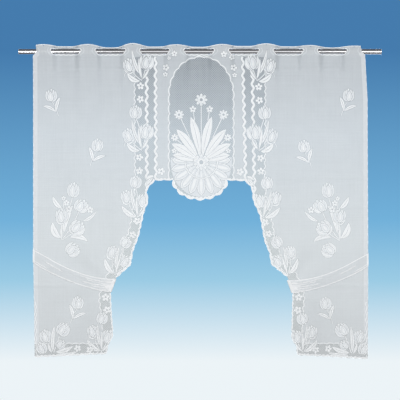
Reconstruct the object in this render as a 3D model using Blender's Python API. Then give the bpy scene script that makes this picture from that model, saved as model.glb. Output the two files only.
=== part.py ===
"""Lace cafe curtain on a plain metal rod, with two voile ties.

The curtain hangs in the XZ plane and faces -Y. The origin is the middle of the
rod's axis, X runs along the rod and Z points up. Sizes are in metres.
"""

import math
from typing import NamedTuple

import bmesh
import bpy
from mathutils import Vector
from mathutils.geometry import delaunay_2d_cdt

# Rod
ROD_LENGTH = 1.162
ROD_RADIUS = 0.008
ROD_SIDES = 40
ROD_EDGE = 0.0006

# Cloth
CLOTH = 0.0012
ROD_SEAT = 0.0004
WEAVE_DEPTH = ROD_RADIUS + ROD_SEAT + CLOTH / 2

# Heading: the cloth passes in front of the rod at each bridge and behind it midway between two
HEADING_TOP = 0.0176
HUMP_REACH = 0.055
SLOT_WIDTH = 0.021
TOP_RIGHT = 0.514
TOP_LEFT = -0.525
TOP_STEP = 0.011

# Edges
SIDE_LEFT = -0.534
SIDE_RIGHT = 0.538
SIDE_STEP = 0.040
SCALLOP = 0.0255
SCALLOP_DEPTH = 0.0035
SCALLOP_PARTS = 3
VALANCE_SCALLOP_DEPTH = 0.0025
LOBE_HALF = 0.086
LOBE_STEPS = 32
LOBE_DEPTH = 0.061
LOBE_SCALLOP = 0.033
LOBE_SCALLOP_DEPTH = 0.006
VALANCE = -0.410

# Spacing of the points inside the outline
FINE_STEP = 0.0125
COARSE_STEP = 0.027
FINE_UNTIL = -0.050
EDGE_SHARE = 0.42
BRIDGE_ROWS = (-0.004, 0.009)
FIRST_ROW = -0.018

# Ties
TIE_STANDOFF = 0.0026
TIE_PLEAT = 0.0009
TIE_PLEATS = 3.5
TIE_END_SLANT = 0.37
TIE_SLANT_FROM = 0.7
TIE_UPRIGHT_UNTIL = 0.2
TIE_ACROSS = 8
TIE_FRONT_STEPS = 20
TIE_TURN_STEPS = 5
TIE_BACK_STEPS = 16

# Folds
CLEAR_OF_ROD = 0.012
WEAVE_FADE = 0.085
HANG_FROM = 0.25
HANG_SHARE = 0.8
HEM_SHARE = 0.5
HEM_FROM = 0.45
PINCH_REACH = 0.065
PINCH_SHARE = 0.65
DRAG_REACH = 0.110
DRAG_DEPTH = 0.0035
DRAG_RAYS = 7.0


class Bridge(NamedTuple):
    """A place where the heading passes in front of the rod."""

    centre: float
    top: float


class Fold(NamedTuple):
    """One soft upright wave of the hanging cloth."""

    length: float
    depth: float
    phase: float
    lean: float


class Tie(NamedTuple):
    """The centre line of one tie, from the cloth's side to its inner edge."""

    name: str
    outer: float
    inner: float
    start: float
    drop: float
    bend: float
    width: float


BRIDGES = (
    Bridge(-0.501, 0.0235),
    Bridge(-0.358, 0.0240),
    Bridge(-0.215, 0.0270),
    Bridge(-0.075, 0.0230),
    Bridge(0.069, 0.0240),
    Bridge(0.212, 0.0260),
    Bridge(0.354, 0.0205),
    Bridge(0.492, 0.0185),
)

FOLDS = (
    Fold(0.287, 0.0034, 0.6, 0.10),
    Fold(0.193, 0.0026, 2.1, -0.16),
    Fold(0.128, 0.0014, 4.0, 0.22),
)

TIES = (
    Tie("tie_left", -0.535, -0.2775, -0.653, 0.095, 1.72, 0.042),
    Tie("tie_right", 0.539, 0.2875, -0.663, 0.085, 1.50, 0.040),
)

# Mean line of each inner edge, from the valance down to the hem: above, beside and below the tie
LEFT_ABOVE = (
    (-0.144, -0.411), (-0.170, -0.442), (-0.167, -0.478), (-0.179, -0.510), (-0.188, -0.550),
    (-0.198, -0.592), (-0.215, -0.638), (-0.223, -0.680), (-0.241, -0.698), (-0.268, -0.723),
)
LEFT_BELOW = (
    (-0.286, -0.773), (-0.284, -0.826), (-0.279, -0.905), (-0.292, -0.934), (-0.300, -0.966),
)
RIGHT_ABOVE = (
    (0.144, -0.413), (0.165, -0.436), (0.172, -0.478), (0.191, -0.522), (0.200, -0.566),
    (0.207, -0.604), (0.223, -0.645), (0.229, -0.678), (0.251, -0.697), (0.279, -0.720),
)
RIGHT_BELOW = (
    (0.297, -0.771), (0.295, -0.835), (0.294, -0.915), (0.307, -0.938), (0.311, -0.969),
)
HEM_LEFT = -0.982
HEM_RIGHT = -0.986

# One slot about its middle, from its pointed end at the bridge in front of the rod
SLOT_SHAPE = (
    (-0.0115, 0.0), (-0.0095, -0.0045), (-0.0045, -0.0086), (0.0035, -0.0086), (0.0085, -0.0075),
    (0.0105, 0.0), (0.0085, 0.0075), (0.0035, 0.0086), (-0.0045, 0.0086), (-0.0095, 0.0045),
)

SATIN_METAL = ((0.72, 0.73, 0.75), 0.28, 1.0)
WHITE_LACE = ((0.86, 0.88, 0.90), 0.85, 0.0)
WHITE_VOILE = ((0.90, 0.92, 0.93), 0.80, 0.0)


def ease(share: float) -> float:
    """Goes from 0 to 1 with level ends."""
    share = min(max(share, 0.0), 1.0)
    return share * share * (3.0 - 2.0 * share)


def slot_centres() -> list[float]:
    """Middles of the slots, left to right: two between neighbouring bridges."""
    centres = []
    for left, right in zip(BRIDGES, BRIDGES[1:]):
        gap = right.centre - left.centre
        centres += [left.centre + gap / 4, left.centre + 3 * gap / 4]
    return centres


def side_of_rod(x: float) -> float:
    """1 where the heading is in front of the rod, -1 where it is behind."""
    side = 1.0
    for index, centre in enumerate(slot_centres()):
        turn = -2.0 if index % 2 == 0 else 2.0
        side += turn * ease((x - centre) / SLOT_WIDTH + 0.5)
    return side


def heading_top(x: float) -> float:
    """Height of the top edge: humped over each bridge."""
    height = HEADING_TOP
    for bridge in BRIDGES:
        away = abs(x - bridge.centre) / HUMP_REACH
        height += (bridge.top - HEADING_TOP) * (1.0 - ease(away))
    return height


def tie_height(tie: Tie, x: float) -> float:
    """Height of the tie's centre line at x."""
    run = min(max((x - tie.outer) / (tie.inner - tie.outer), 0.0), 1.0)
    return tie.start - tie.drop * (1.0 - (1.0 - run) ** tie.bend)


def hang_depth(x: float, z: float) -> float:
    """Depth of the soft upright folds, which grow from the heading to the hem."""
    depth = 0.0
    for fold in FOLDS:
        turn = 2.0 * math.pi * (x + fold.lean * z) / fold.length + fold.phase
        depth += fold.depth * math.sin(turn)
    lower = ease((-z - HEM_FROM) / (-HEM_RIGHT - HEM_FROM))
    return depth * ease(-z / HANG_FROM) * (HANG_SHARE + HEM_SHARE * lower)


def drag_depth(tie: Tie, x: float, z: float) -> float:
    """Depth of the small folds that fan out from where a tie grips the cloth's inner edge."""
    across, up = x - tie.inner, z - tie.start + tie.drop
    share = math.hypot(across, up) / DRAG_REACH
    fade = share * math.exp((1.0 - share**2) / 2.0)
    return DRAG_DEPTH * fade * math.cos(DRAG_RAYS * math.atan2(up, across))


def fold_depth(x: float, z: float) -> float:
    """How far behind the rod's axis the middle of the cloth lies at (x, z)."""
    below = max(-z - CLEAR_OF_ROD, 0.0)
    depth = hang_depth(x, z)
    for tie in TIES:
        if x * tie.outer > 0.0:
            away = z - tie_height(tie, x)
            depth *= 1.0 - PINCH_SHARE * math.exp(-((away / PINCH_REACH) ** 2))
            depth += drag_depth(tie, x, z) * (1.0 - math.exp(-((away / tie.width) ** 2)))
    return depth - WEAVE_DEPTH * side_of_rod(x) * math.exp(-below / WEAVE_FADE)


def smooth_line(points: tuple, parts: int = 8) -> list[Vector]:
    """A smooth line through the points."""
    ends = [points[0], *points, points[-1]]
    line = []
    for before, start, end, after in zip(ends, ends[1:], ends[2:], ends[3:]):
        a, b, c, d = Vector(before), Vector(start), Vector(end), Vector(after)
        for part in range(parts):
            t = part / parts
            bend = (c - a) * t + (2 * a - 5 * b + 4 * c - d) * t**2
            line.append(b + 0.5 * (bend + (3 * b - a - 3 * c + d) * t**3))
    return line + [Vector(points[-1])]


def scalloped(line: list[Vector], pitch: float, depth: float) -> list[Vector]:
    """The line as a row of round scallops that stand out on its right-hand side."""
    lengths = [0.0]
    for start, end in zip(line, line[1:]):
        lengths.append(lengths[-1] + (end - start).length)
    count = max(round(lengths[-1] / pitch), 1) * SCALLOP_PARTS
    edge = []
    place = 0
    for step in range(count + 1):
        goal = lengths[-1] * step / count
        while place < len(line) - 2 and lengths[place + 1] < goal:
            place += 1
        along = line[place + 1] - line[place]
        share = (goal - lengths[place]) / along.length
        out = Vector((along.y, -along.x)).normalized()
        rise = math.sin(math.pi * (step % SCALLOP_PARTS) / SCALLOP_PARTS)
        edge.append(line[place] + along * share + out * depth * rise)
    return edge


def top_edge() -> list[Vector]:
    """The heading's top edge, from right to left."""
    count = round((TOP_RIGHT - TOP_LEFT) / TOP_STEP)
    places = [TOP_RIGHT + (TOP_LEFT - TOP_RIGHT) * step / count for step in range(count + 1)]
    return [Vector((x, heading_top(x))) for x in places]


def valance_edge() -> list[Vector]:
    """The edge over the open arch, left to right, with a round lobe in its middle."""
    left = [Vector(LEFT_ABOVE[0]), Vector((-LOBE_HALF, VALANCE))]
    right = [Vector((LOBE_HALF, VALANCE)), Vector(RIGHT_ABOVE[0])]
    arc = []
    for step in range(LOBE_STEPS + 1):
        turn = math.pi * step / LOBE_STEPS
        arc.append(Vector((-LOBE_HALF * math.cos(turn), VALANCE - LOBE_DEPTH * math.sin(turn))))
    lobe = scalloped(arc, LOBE_SCALLOP, LOBE_SCALLOP_DEPTH)
    edge = scalloped(left, SCALLOP, VALANCE_SCALLOP_DEPTH)[:-1] + lobe[:-1]
    return edge + scalloped(right, SCALLOP, VALANCE_SCALLOP_DEPTH)[:-1]


def side_edge(points: tuple) -> list[Vector]:
    """A side of the cloth, as straight runs through the points."""
    line = [Vector(points[0])]
    for start, end in zip(points, points[1:]):
        parts = max(round((Vector(end) - Vector(start)).length / SIDE_STEP), 1)
        for part in range(1, parts + 1):
            line.append(Vector(start).lerp(Vector(end), part / parts))
    return line


def outline() -> list[Vector]:
    """The curtain's edge, once round, starting at the top right corner."""
    left_side = side_edge(
        ((-0.523, 0.0), (SIDE_LEFT, -0.014), (SIDE_LEFT, -0.655), (-0.529, HEM_LEFT))
    )
    right_side = side_edge(
        ((0.537, HEM_RIGHT), (SIDE_RIGHT, -0.665), (0.536, -0.150), (0.528, -0.012), (0.517, 0.0))
    )
    left_hem = [Vector((-0.529, HEM_LEFT)), Vector(LEFT_BELOW[-1])]
    right_hem = [Vector(RIGHT_BELOW[-1]), Vector((0.537, HEM_RIGHT))]
    edge = top_edge() + left_side[:-1]
    edge += scalloped(left_hem, SCALLOP, SCALLOP_DEPTH)[:-1]
    edge += scalloped(smooth_line(LEFT_BELOW[::-1]), SCALLOP, SCALLOP_DEPTH)
    edge += scalloped(smooth_line(LEFT_ABOVE[::-1]), SCALLOP, SCALLOP_DEPTH)[:-1]
    edge += valance_edge()
    edge += scalloped(smooth_line(RIGHT_ABOVE), SCALLOP, SCALLOP_DEPTH)
    edge += scalloped(smooth_line(RIGHT_BELOW), SCALLOP, SCALLOP_DEPTH)[:-1]
    edge += scalloped(right_hem, SCALLOP, SCALLOP_DEPTH)[:-1]
    return edge + right_side


def slots() -> list[list[Vector]]:
    """The slots that the rod passes through, pointed towards the bridges in front of it."""
    loops = []
    for index, centre in enumerate(slot_centres()):
        turn = 1 if index % 2 == 0 else -1
        loop = [Vector((centre + turn * x, z)) for x, z in SLOT_SHAPE]
        loops.append(loop if turn > 0 else loop[::-1])
    return loops


def inner_points(loops: list[list[Vector]]) -> list[Vector]:
    """Points inside the cloth, close together at the heading and wider apart below it."""
    edge = [point for loop in loops for point in loop]
    points = []
    for bridge in BRIDGES:
        for x in (-FINE_STEP, 0.0, FINE_STEP):
            points += [Vector((bridge.centre + x, z)) for z in BRIDGE_ROWS]
    row = 0
    z = FIRST_ROW
    while z > HEM_RIGHT:
        step = FINE_STEP if z > FINE_UNTIL else COARSE_STEP
        x = SIDE_LEFT + step * (0.5 + 0.5 * (row % 2))
        while x < SIDE_RIGHT:
            place = Vector((x, z))
            if min((place - point).length for point in edge) > step * EDGE_SHARE:
                points.append(place)
            x += step
        z -= step * math.sin(math.radians(60))
        row += 1
    return points


def new_mesh_object(name: str, shape: bmesh.types.BMesh) -> bpy.types.Object:
    """An object of this name in the scene, with the shape as its mesh."""
    mesh = bpy.data.meshes.new(name)
    shape.to_mesh(mesh)
    shape.free()
    piece = bpy.data.objects.new(name, mesh)
    bpy.context.scene.collection.objects.link(piece)
    return piece


def thicken(piece: bpy.types.Object) -> None:
    """Gives a sheet the cloth's thickness, half on each face."""
    solid = piece.modifiers.new("Cloth", "SOLIDIFY")
    solid.thickness = CLOTH
    solid.offset = 0.0
    for face in piece.data.polygons:
        face.use_smooth = True


def finish(piece: bpy.types.Object, look: tuple) -> None:
    """Gives the piece its own material."""
    colour, roughness, metallic = look
    material = bpy.data.materials.new(piece.name)
    material.use_nodes = True
    shader = material.node_tree.nodes["Principled BSDF"]
    shader.inputs["Base Color"].default_value = (*colour, 1.0)
    shader.inputs["Roughness"].default_value = roughness
    shader.inputs["Metallic"].default_value = metallic
    piece.data.materials.append(material)


def make_rod() -> None:
    """The plain round rod, with its edges just broken."""
    bpy.ops.mesh.primitive_cylinder_add(
        vertices=ROD_SIDES, radius=ROD_RADIUS, depth=ROD_LENGTH, rotation=(0.0, math.pi / 2, 0.0)
    )
    rod = bpy.context.object
    rod.name = rod.data.name = "rod"
    rod.data.shade_smooth()
    rod.data.set_sharp_from_angle(angle=math.radians(40))
    edge = rod.modifiers.new("Broken edges", "BEVEL")
    edge.width = ROD_EDGE
    edge.limit_method = "ANGLE"
    edge.angle_limit = math.radians(40)
    finish(rod, SATIN_METAL)


def make_curtain() -> None:
    """The lace panel: cut to its outline and slots, and laid on its folds."""
    loops = [outline(), *slots()]
    points = [point for loop in loops for point in loop] + inner_points(loops)
    faces = []
    for loop in loops:
        first = faces[-1][-1] + 1 if faces else 0
        faces.append(list(range(first, first + len(loop))))
    cut = delaunay_2d_cdt(points, [], faces, 1, 1e-6)
    shape = bmesh.new()
    corners = [shape.verts.new((p.x, fold_depth(p.x, p.y), p.y)) for p in cut[0]]
    for triangle, owners in zip(cut[2], cut[5]):
        if owners == [0]:
            shape.faces.new([corners[index] for index in triangle])
    panel = new_mesh_object("curtain_panel", shape)
    thicken(panel)
    finish(panel, WHITE_LACE)


def tie_rows(tie: Tie) -> list[tuple[float, float, float]]:
    """Steps along the tie, out along its front and home along its back.

    Each step is the share of the run, the side (-1 front, 1 back) and the share
    of the turn that reaches past the cloth's inner edge.
    """
    rows = [(step / TIE_FRONT_STEPS, -1.0, 0.0) for step in range(TIE_FRONT_STEPS + 1)]
    for step in range(1, TIE_TURN_STEPS):
        turn = math.pi * (step / TIE_TURN_STEPS - 0.5)
        rows.append((1.0, math.sin(turn), math.cos(turn)))
    rows += [(1.0 - step / TIE_BACK_STEPS, 1.0, 0.0) for step in range(TIE_BACK_STEPS + 1)]
    return rows


def tie_point(tie: Tie, run: float, side: float, past: float, across: float) -> Vector:
    """One point of the tie; across goes from -0.5 at its lower edge to 0.5 at its upper edge."""
    x = tie.outer + (tie.inner - tie.outer) * run
    z = tie.start - tie.drop * (1.0 - (1.0 - run) ** tie.bend)
    slope = tie.drop * tie.bend * (1.0 - run) ** (tie.bend - 1.0) / abs(tie.outer - tie.inner)
    inward = 1.0 if tie.inner > tie.outer else -1.0
    slant = TIE_END_SLANT * ease((run - TIE_SLANT_FROM) / (1.0 - TIE_SLANT_FROM))
    upright = ease(run / TIE_UPRIGHT_UNTIL)
    up = Vector((inward * (slope * upright + slant), 1.0)) / Vector((slope * upright, 1.0)).length
    place = Vector((x, z)) + up * across * tie.width
    pleat = TIE_PLEAT * math.cos(2.0 * math.pi * TIE_PLEATS * (across + 0.5)) * abs(side)
    depth = fold_depth(place.x, place.y) + side * TIE_STANDOFF + math.copysign(pleat, side)
    return Vector((place.x + inward * past * TIE_STANDOFF, depth, place.y))


def make_tie(tie: Tie) -> None:
    """A pleated band that passes round the leg of the curtain and ends at its side."""
    shape = bmesh.new()
    grid = []
    for run, side, past in tie_rows(tie):
        shares = [step / TIE_ACROSS - 0.5 for step in range(TIE_ACROSS + 1)]
        grid.append([shape.verts.new(tie_point(tie, run, side, past, share)) for share in shares])
    for row, after in zip(grid, grid[1:]):
        for index in range(TIE_ACROSS):
            shape.faces.new((row[index], after[index], after[index + 1], row[index + 1]))
    if tie.inner < tie.outer:
        bmesh.ops.reverse_faces(shape, faces=shape.faces)
    band = new_mesh_object(tie.name, shape)
    thicken(band)
    finish(band, WHITE_VOILE)


def main() -> None:
    """Clears the scene and builds the rod, the curtain and its ties."""
    for piece in list(bpy.data.objects):
        bpy.data.objects.remove(piece)
    make_rod()
    make_curtain()
    for tie in TIES:
        make_tie(tie)


main()
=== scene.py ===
"""Looks of a lace cafe curtain on its metal rod, drawn back by two voile ties.

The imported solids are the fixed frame. The curtain hangs in the XZ plane and faces -Y,
the origin is the middle of the rod's axis, and all sizes are in metres unless a name
says otherwise. The lace is one sheet: every ground, line and motif is a closed shape,
and the shapes are worked into the sheet in order, a later one over an earlier one.
"""

import enum
import logging
import math
import random
from dataclasses import dataclass
from typing import Callable

import bmesh
import bpy
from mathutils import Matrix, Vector
from mathutils.geometry import delaunay_2d_cdt


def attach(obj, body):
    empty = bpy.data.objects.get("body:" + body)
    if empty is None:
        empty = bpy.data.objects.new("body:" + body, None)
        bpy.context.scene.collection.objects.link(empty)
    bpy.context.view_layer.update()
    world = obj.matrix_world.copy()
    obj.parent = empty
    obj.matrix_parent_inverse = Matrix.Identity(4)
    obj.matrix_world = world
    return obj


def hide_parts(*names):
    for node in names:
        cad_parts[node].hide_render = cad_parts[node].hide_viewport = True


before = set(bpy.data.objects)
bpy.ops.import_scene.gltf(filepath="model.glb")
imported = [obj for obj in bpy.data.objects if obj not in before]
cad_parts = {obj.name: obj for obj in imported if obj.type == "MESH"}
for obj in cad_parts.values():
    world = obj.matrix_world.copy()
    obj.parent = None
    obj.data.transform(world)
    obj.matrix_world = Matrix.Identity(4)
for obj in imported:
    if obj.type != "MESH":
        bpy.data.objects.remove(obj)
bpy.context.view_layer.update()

log = logging.getLogger("curtain")

Line = list[Vector]
MM = 0.001
ZIGZAG_SHARPNESS = 0.06


class Ground(enum.IntEnum):
    """What the lace is made of at a place. The value is the material's index."""

    VOILE = 0
    NET = 1
    OPEN = 2
    HEM = 3
    FILL = 4
    DENSE = 5
    GAP = 6


class Wave(enum.Enum):
    """The shape that a line's edge takes along its length."""

    SCALLOP = enum.auto()
    RIPPLE = enum.auto()
    ZIGZAG = enum.auto()

    def rise(self, share: float) -> float:
        """How far out the edge is.

        Args:
            share: Share of the way along one repeat.

        Returns:
            The rise, from -1 to 1.
        """
        if self is Wave.SCALLOP:
            return math.sin(math.pi * share)
        turn = 2.0 * math.pi * share
        if self is Wave.RIPPLE:
            return math.sin(turn)
        return math.sin(turn) - ZIGZAG_SHARPNESS * math.sin(3.0 * turn)


def ease(share: float) -> float:
    """Goes from 0 to 1 with level ends."""
    share = min(max(share, 0.0), 1.0)
    return share * share * (3.0 - 2.0 * share)


def smooth_line(points: tuple, parts: int = 8) -> Line:
    """A smooth line through the points.

    Args:
        points: The points, as pairs of x and z.
        parts: Steps between two of them.

    Returns:
        The points of the line, both ends included.
    """
    ends = [points[0], *points, points[-1]]
    line = []
    for before, start, end, after in zip(ends, ends[1:], ends[2:], ends[3:]):
        a, b, c, d = Vector(before), Vector(start), Vector(end), Vector(after)
        for part in range(parts):
            t = part / parts
            bend = (c - a) * t + (2 * a - 5 * b + 4 * c - d) * t**2
            line.append(b + 0.5 * (bend + (3 * b - a - 3 * c + d) * t**3))
    return line + [Vector(points[-1])]


def waved(line: Line, pitch: float, depth: float, wave: Wave, parts: int = 8) -> Line:
    """The line with a repeating wave that stands out on its right-hand side.

    Args:
        line: The mean line.
        pitch: Length of one repeat, fitted to a whole number of them.
        depth: How far the wave stands out.
        wave: Its shape.
        parts: Steps in one repeat.

    Returns:
        The points of the waved line.
    """
    lengths = [0.0]
    for start, end in zip(line, line[1:]):
        lengths.append(lengths[-1] + (end - start).length)
    count = max(round(lengths[-1] / pitch), 1) * parts
    edge = []
    place = 0
    for step in range(count + 1):
        goal = lengths[-1] * step / count
        while place < len(line) - 2 and lengths[place + 1] < goal:
            place += 1
        along = line[place + 1] - line[place]
        share = (goal - lengths[place]) / along.length
        out = Vector((along.y, -along.x)).normalized()
        rise = depth * wave.rise((step % parts) / parts)
        edge.append(line[place] + along * share + out * rise)
    return edge


def beside(line: Line, distance: float) -> Line:
    """The line moved to its right-hand side.

    Args:
        line: An open line.
        distance: How far it is moved.

    Returns:
        The points of the moved line.
    """
    moved = []
    last = len(line) - 1
    for index, point in enumerate(line):
        along = line[min(index + 1, last)] - line[max(index - 1, 0)]
        moved.append(point + Vector((along.y, -along.x)).normalized() * distance)
    return moved


def arc(centre: Vector, wide: float, tall: float, start: float, end: float, steps: int) -> Line:
    """Part of an ellipse.

    Args:
        centre: Its middle.
        wide: Half of its width.
        tall: Half of its height.
        start: The first point's angle from +X, in degrees.
        end: The last point's angle.
        steps: Steps between the two.

    Returns:
        The points of the arc, both ends included.
    """
    line = []
    for step in range(steps + 1):
        turn = math.radians(start + (end - start) * step / steps)
        line.append(centre + Vector((wide * math.cos(turn), tall * math.sin(turn))))
    return line


def disc(centre: Vector, radius: float, corners: int) -> Line:
    """The closed edge of a small disc."""
    return arc(centre, radius, radius, 0.0, 360.0 - 360.0 / corners, corners - 1)


@dataclass(frozen=True)
class Bridge:
    """A place where the heading passes in front of the rod."""

    centre: float
    top: float


@dataclass(frozen=True)
class Heading:
    """The top of the curtain, which passes over and under the rod through its slots."""

    bridges: tuple = (
        Bridge(-0.501, 0.0235), Bridge(-0.358, 0.0240), Bridge(-0.215, 0.0270),
        Bridge(-0.075, 0.0230), Bridge(0.069, 0.0240), Bridge(0.212, 0.0260),
        Bridge(0.354, 0.0205), Bridge(0.492, 0.0185),
    )
    level: float = 0.0176
    hump_reach: float = 0.055
    sags: tuple = (0.0002, 0.0038, 0.0010, 0.0016, -0.0010, 0.0004, 0.0040)
    right: float = 0.514
    left: float = -0.525
    step: float = 0.004
    slot_width: float = 0.021
    slot_shape: tuple = (
        (-0.0124, 0.0032), (-0.0102, -0.0006), (-0.0070, -0.0048), (-0.0036, -0.0086),
        (0.0035, -0.0086), (0.0070, -0.0082), (0.0085, -0.0075), (0.0101, -0.0040),
        (0.0105, 0.0), (0.0101, 0.0040), (0.0085, 0.0075), (0.0070, 0.0082),
        (0.0035, 0.0086), (-0.0070, 0.0086), (-0.0098, 0.0078), (-0.0117, 0.0058),
    )
    half_slot: tuple = (0.0105, 0.0086)

    def slot_centres(self) -> list[float]:
        """Middles of the slots, two between neighbouring bridges.

        Returns:
            Their places along the rod, from left to right.
        """
        centres = []
        for left, right in zip(self.bridges, self.bridges[1:]):
            gap = right.centre - left.centre
            centres += [left.centre + gap / 4, left.centre + 3 * gap / 4]
        return centres

    def side_of_rod(self, x: float) -> float:
        """Which side of the rod the heading is on.

        Args:
            x: Place along the rod.

        Returns:
            1 in front of the rod and -1 behind it, with a smooth change in each slot.
        """
        side = 1.0
        for index, centre in enumerate(self.slot_centres()):
            turn = -2.0 if index % 2 == 0 else 2.0
            side += turn * ease((x - centre) / self.slot_width + 0.5)
        return side

    def top(self, x: float) -> float:
        """Height of the top edge: humped over each bridge, with an uneven sag between two.

        Args:
            x: Place along the rod.

        Returns:
            The height above the rod's axis.
        """
        height = self.level
        for bridge in self.bridges:
            away = abs(x - bridge.centre) / self.hump_reach
            height += (bridge.top - self.level) * (1.0 - ease(away))
        for left, right, sag in zip(self.bridges, self.bridges[1:], self.sags):
            away = abs(2.0 * x - left.centre - right.centre) / (right.centre - left.centre)
            height -= sag * (1.0 - ease(away))
        return height

    def top_edge(self) -> Line:
        """The heading's top edge.

        Returns:
            Its points, from right to left.
        """
        count = round((self.right - self.left) / self.step)
        places = [self.right + (self.left - self.right) * step / count for step in range(count + 1)]
        return [Vector((x, self.top(x))) for x in places]

    def slots(self, grow: float = 0.0) -> list[Line]:
        """The slots that the rod passes through, pointed towards the bridges in front of it.

        Args:
            grow: Width of a border that is added all round.

        Returns:
            One closed line for each slot.
        """
        wide, tall = (1.0 + grow / half for half in self.half_slot)
        loops = []
        for index, centre in enumerate(self.slot_centres()):
            turn = 1 if index % 2 == 0 else -1
            loops.append([Vector((centre + turn * x * wide, z * tall)) for x, z in self.slot_shape])
        return loops


@dataclass(frozen=True)
class TieRun:
    """The centre line of one tie, from the cloth's side to its inner edge."""

    piece: str
    node: str
    outer: float
    inner: float
    start: float
    drop: float
    bend: float
    width: float

    def height(self, x: float) -> float:
        """Height of the centre line at x."""
        run = min(max((x - self.outer) / (self.inner - self.outer), 0.0), 1.0)
        return self.start - self.drop * (1.0 - (1.0 - run) ** self.bend)


@dataclass(frozen=True)
class Fold:
    """One soft upright wave of the hanging cloth."""

    length: float
    depth: float
    phase: float
    lean: float


@dataclass(frozen=True)
class Folds:
    """Where the cloth lies in front of or behind the rod's axis."""

    heading: Heading
    ties: tuple
    waves: tuple = (
        Fold(0.287, 0.0034, 0.6, 0.10),
        Fold(0.193, 0.0026, 2.1, -0.16),
        Fold(0.128, 0.0014, 4.0, 0.22),
    )
    weave_depth: float = 0.0090
    weave_fade: float = 0.085
    clear_of_rod: float = 0.012
    hang_from: float = 0.25
    hang_share: float = 0.8
    hem_from: float = 0.45
    hem: float = 0.986
    hem_share: float = 0.5
    pinch_reach: float = 0.065
    pinch_share: float = 0.65
    drag_reach: float = 0.110
    drag_depth: float = 0.0035
    drag_rays: float = 7.0
    packing_creases: tuple = (-0.054, -0.405, -0.499, -0.749)
    crease_depth: float = 0.0019
    crease_reach: float = 0.0042
    gather_pitch: float = 0.0115
    gather_depth: float = 0.0006
    gather_reach: float = 0.030
    gather_across: float = 2.0
    gather_down: float = 3.0
    gather_spread: float = 12.0

    def hang(self, x: float, z: float) -> float:
        """Depth of the soft upright folds, which grow from the heading to the hem.

        Args:
            x: Place across the curtain.
            z: Height.

        Returns:
            The depth, towards +Y.
        """
        depth = 0.0
        for wave in self.waves:
            turn = 2.0 * math.pi * (x + wave.lean * z) / wave.length + wave.phase
            depth += wave.depth * math.sin(turn)
        lower = ease((-z - self.hem_from) / (self.hem - self.hem_from))
        return depth * ease(-z / self.hang_from) * (self.hang_share + self.hem_share * lower)

    def drag(self, tie: TieRun, x: float, z: float) -> float:
        """Depth of the small folds that fan out from where a tie grips the inner edge.

        Args:
            tie: The tie.
            x: Place across the curtain.
            z: Height.

        Returns:
            The depth, towards +Y.
        """
        across, up = x - tie.inner, z - tie.start + tie.drop
        share = math.hypot(across, up) / self.drag_reach
        fade = share * math.exp((1.0 - share**2) / 2.0)
        return self.drag_depth * fade * math.cos(self.drag_rays * math.atan2(up, across))

    def depth(self, x: float, z: float) -> float:
        """How far behind the rod's axis the middle of the cloth lies, as in the solid.

        Args:
            x: Place across the curtain.
            z: Height.

        Returns:
            The depth, towards +Y.
        """
        below = max(-z - self.clear_of_rod, 0.0)
        depth = self.hang(x, z)
        for tie in self.ties:
            if x * tie.outer > 0.0:
                away = z - tie.height(x)
                depth *= 1.0 - self.pinch_share * math.exp(-((away / self.pinch_reach) ** 2))
                depth += self.drag(tie, x, z) * (1.0 - math.exp(-((away / tie.width) ** 2)))
        weave = self.weave_depth * self.heading.side_of_rod(x) * math.exp(-below / self.weave_fade)
        return depth - weave

    def small(self, x: float, z: float) -> float:
        """Depth of the packing creases and of the gathers under the bridges.

        Args:
            x: Place across the curtain.
            z: Height.

        Returns:
            The depth that they add, towards +Y.
        """
        depth = 0.0
        for crease in self.packing_creases:
            depth -= self.crease_depth * math.exp(-(((z - crease) / self.crease_reach) ** 2))
        for bridge in self.heading.bridges:
            across = x - bridge.centre
            beside_bridge = abs(across) < self.gather_across * self.gather_reach
            if beside_bridge and z > -self.gather_down * self.gather_reach:
                fade = math.exp(-((across / self.gather_reach) ** 2) - (z / self.gather_reach) ** 2)
                spread = 1.0 + self.gather_spread * max(-z, 0.0)
                turn = 2.0 * math.pi * across / (self.gather_pitch * spread)
                depth += self.gather_depth * fade * math.cos(turn)
        return depth


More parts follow.
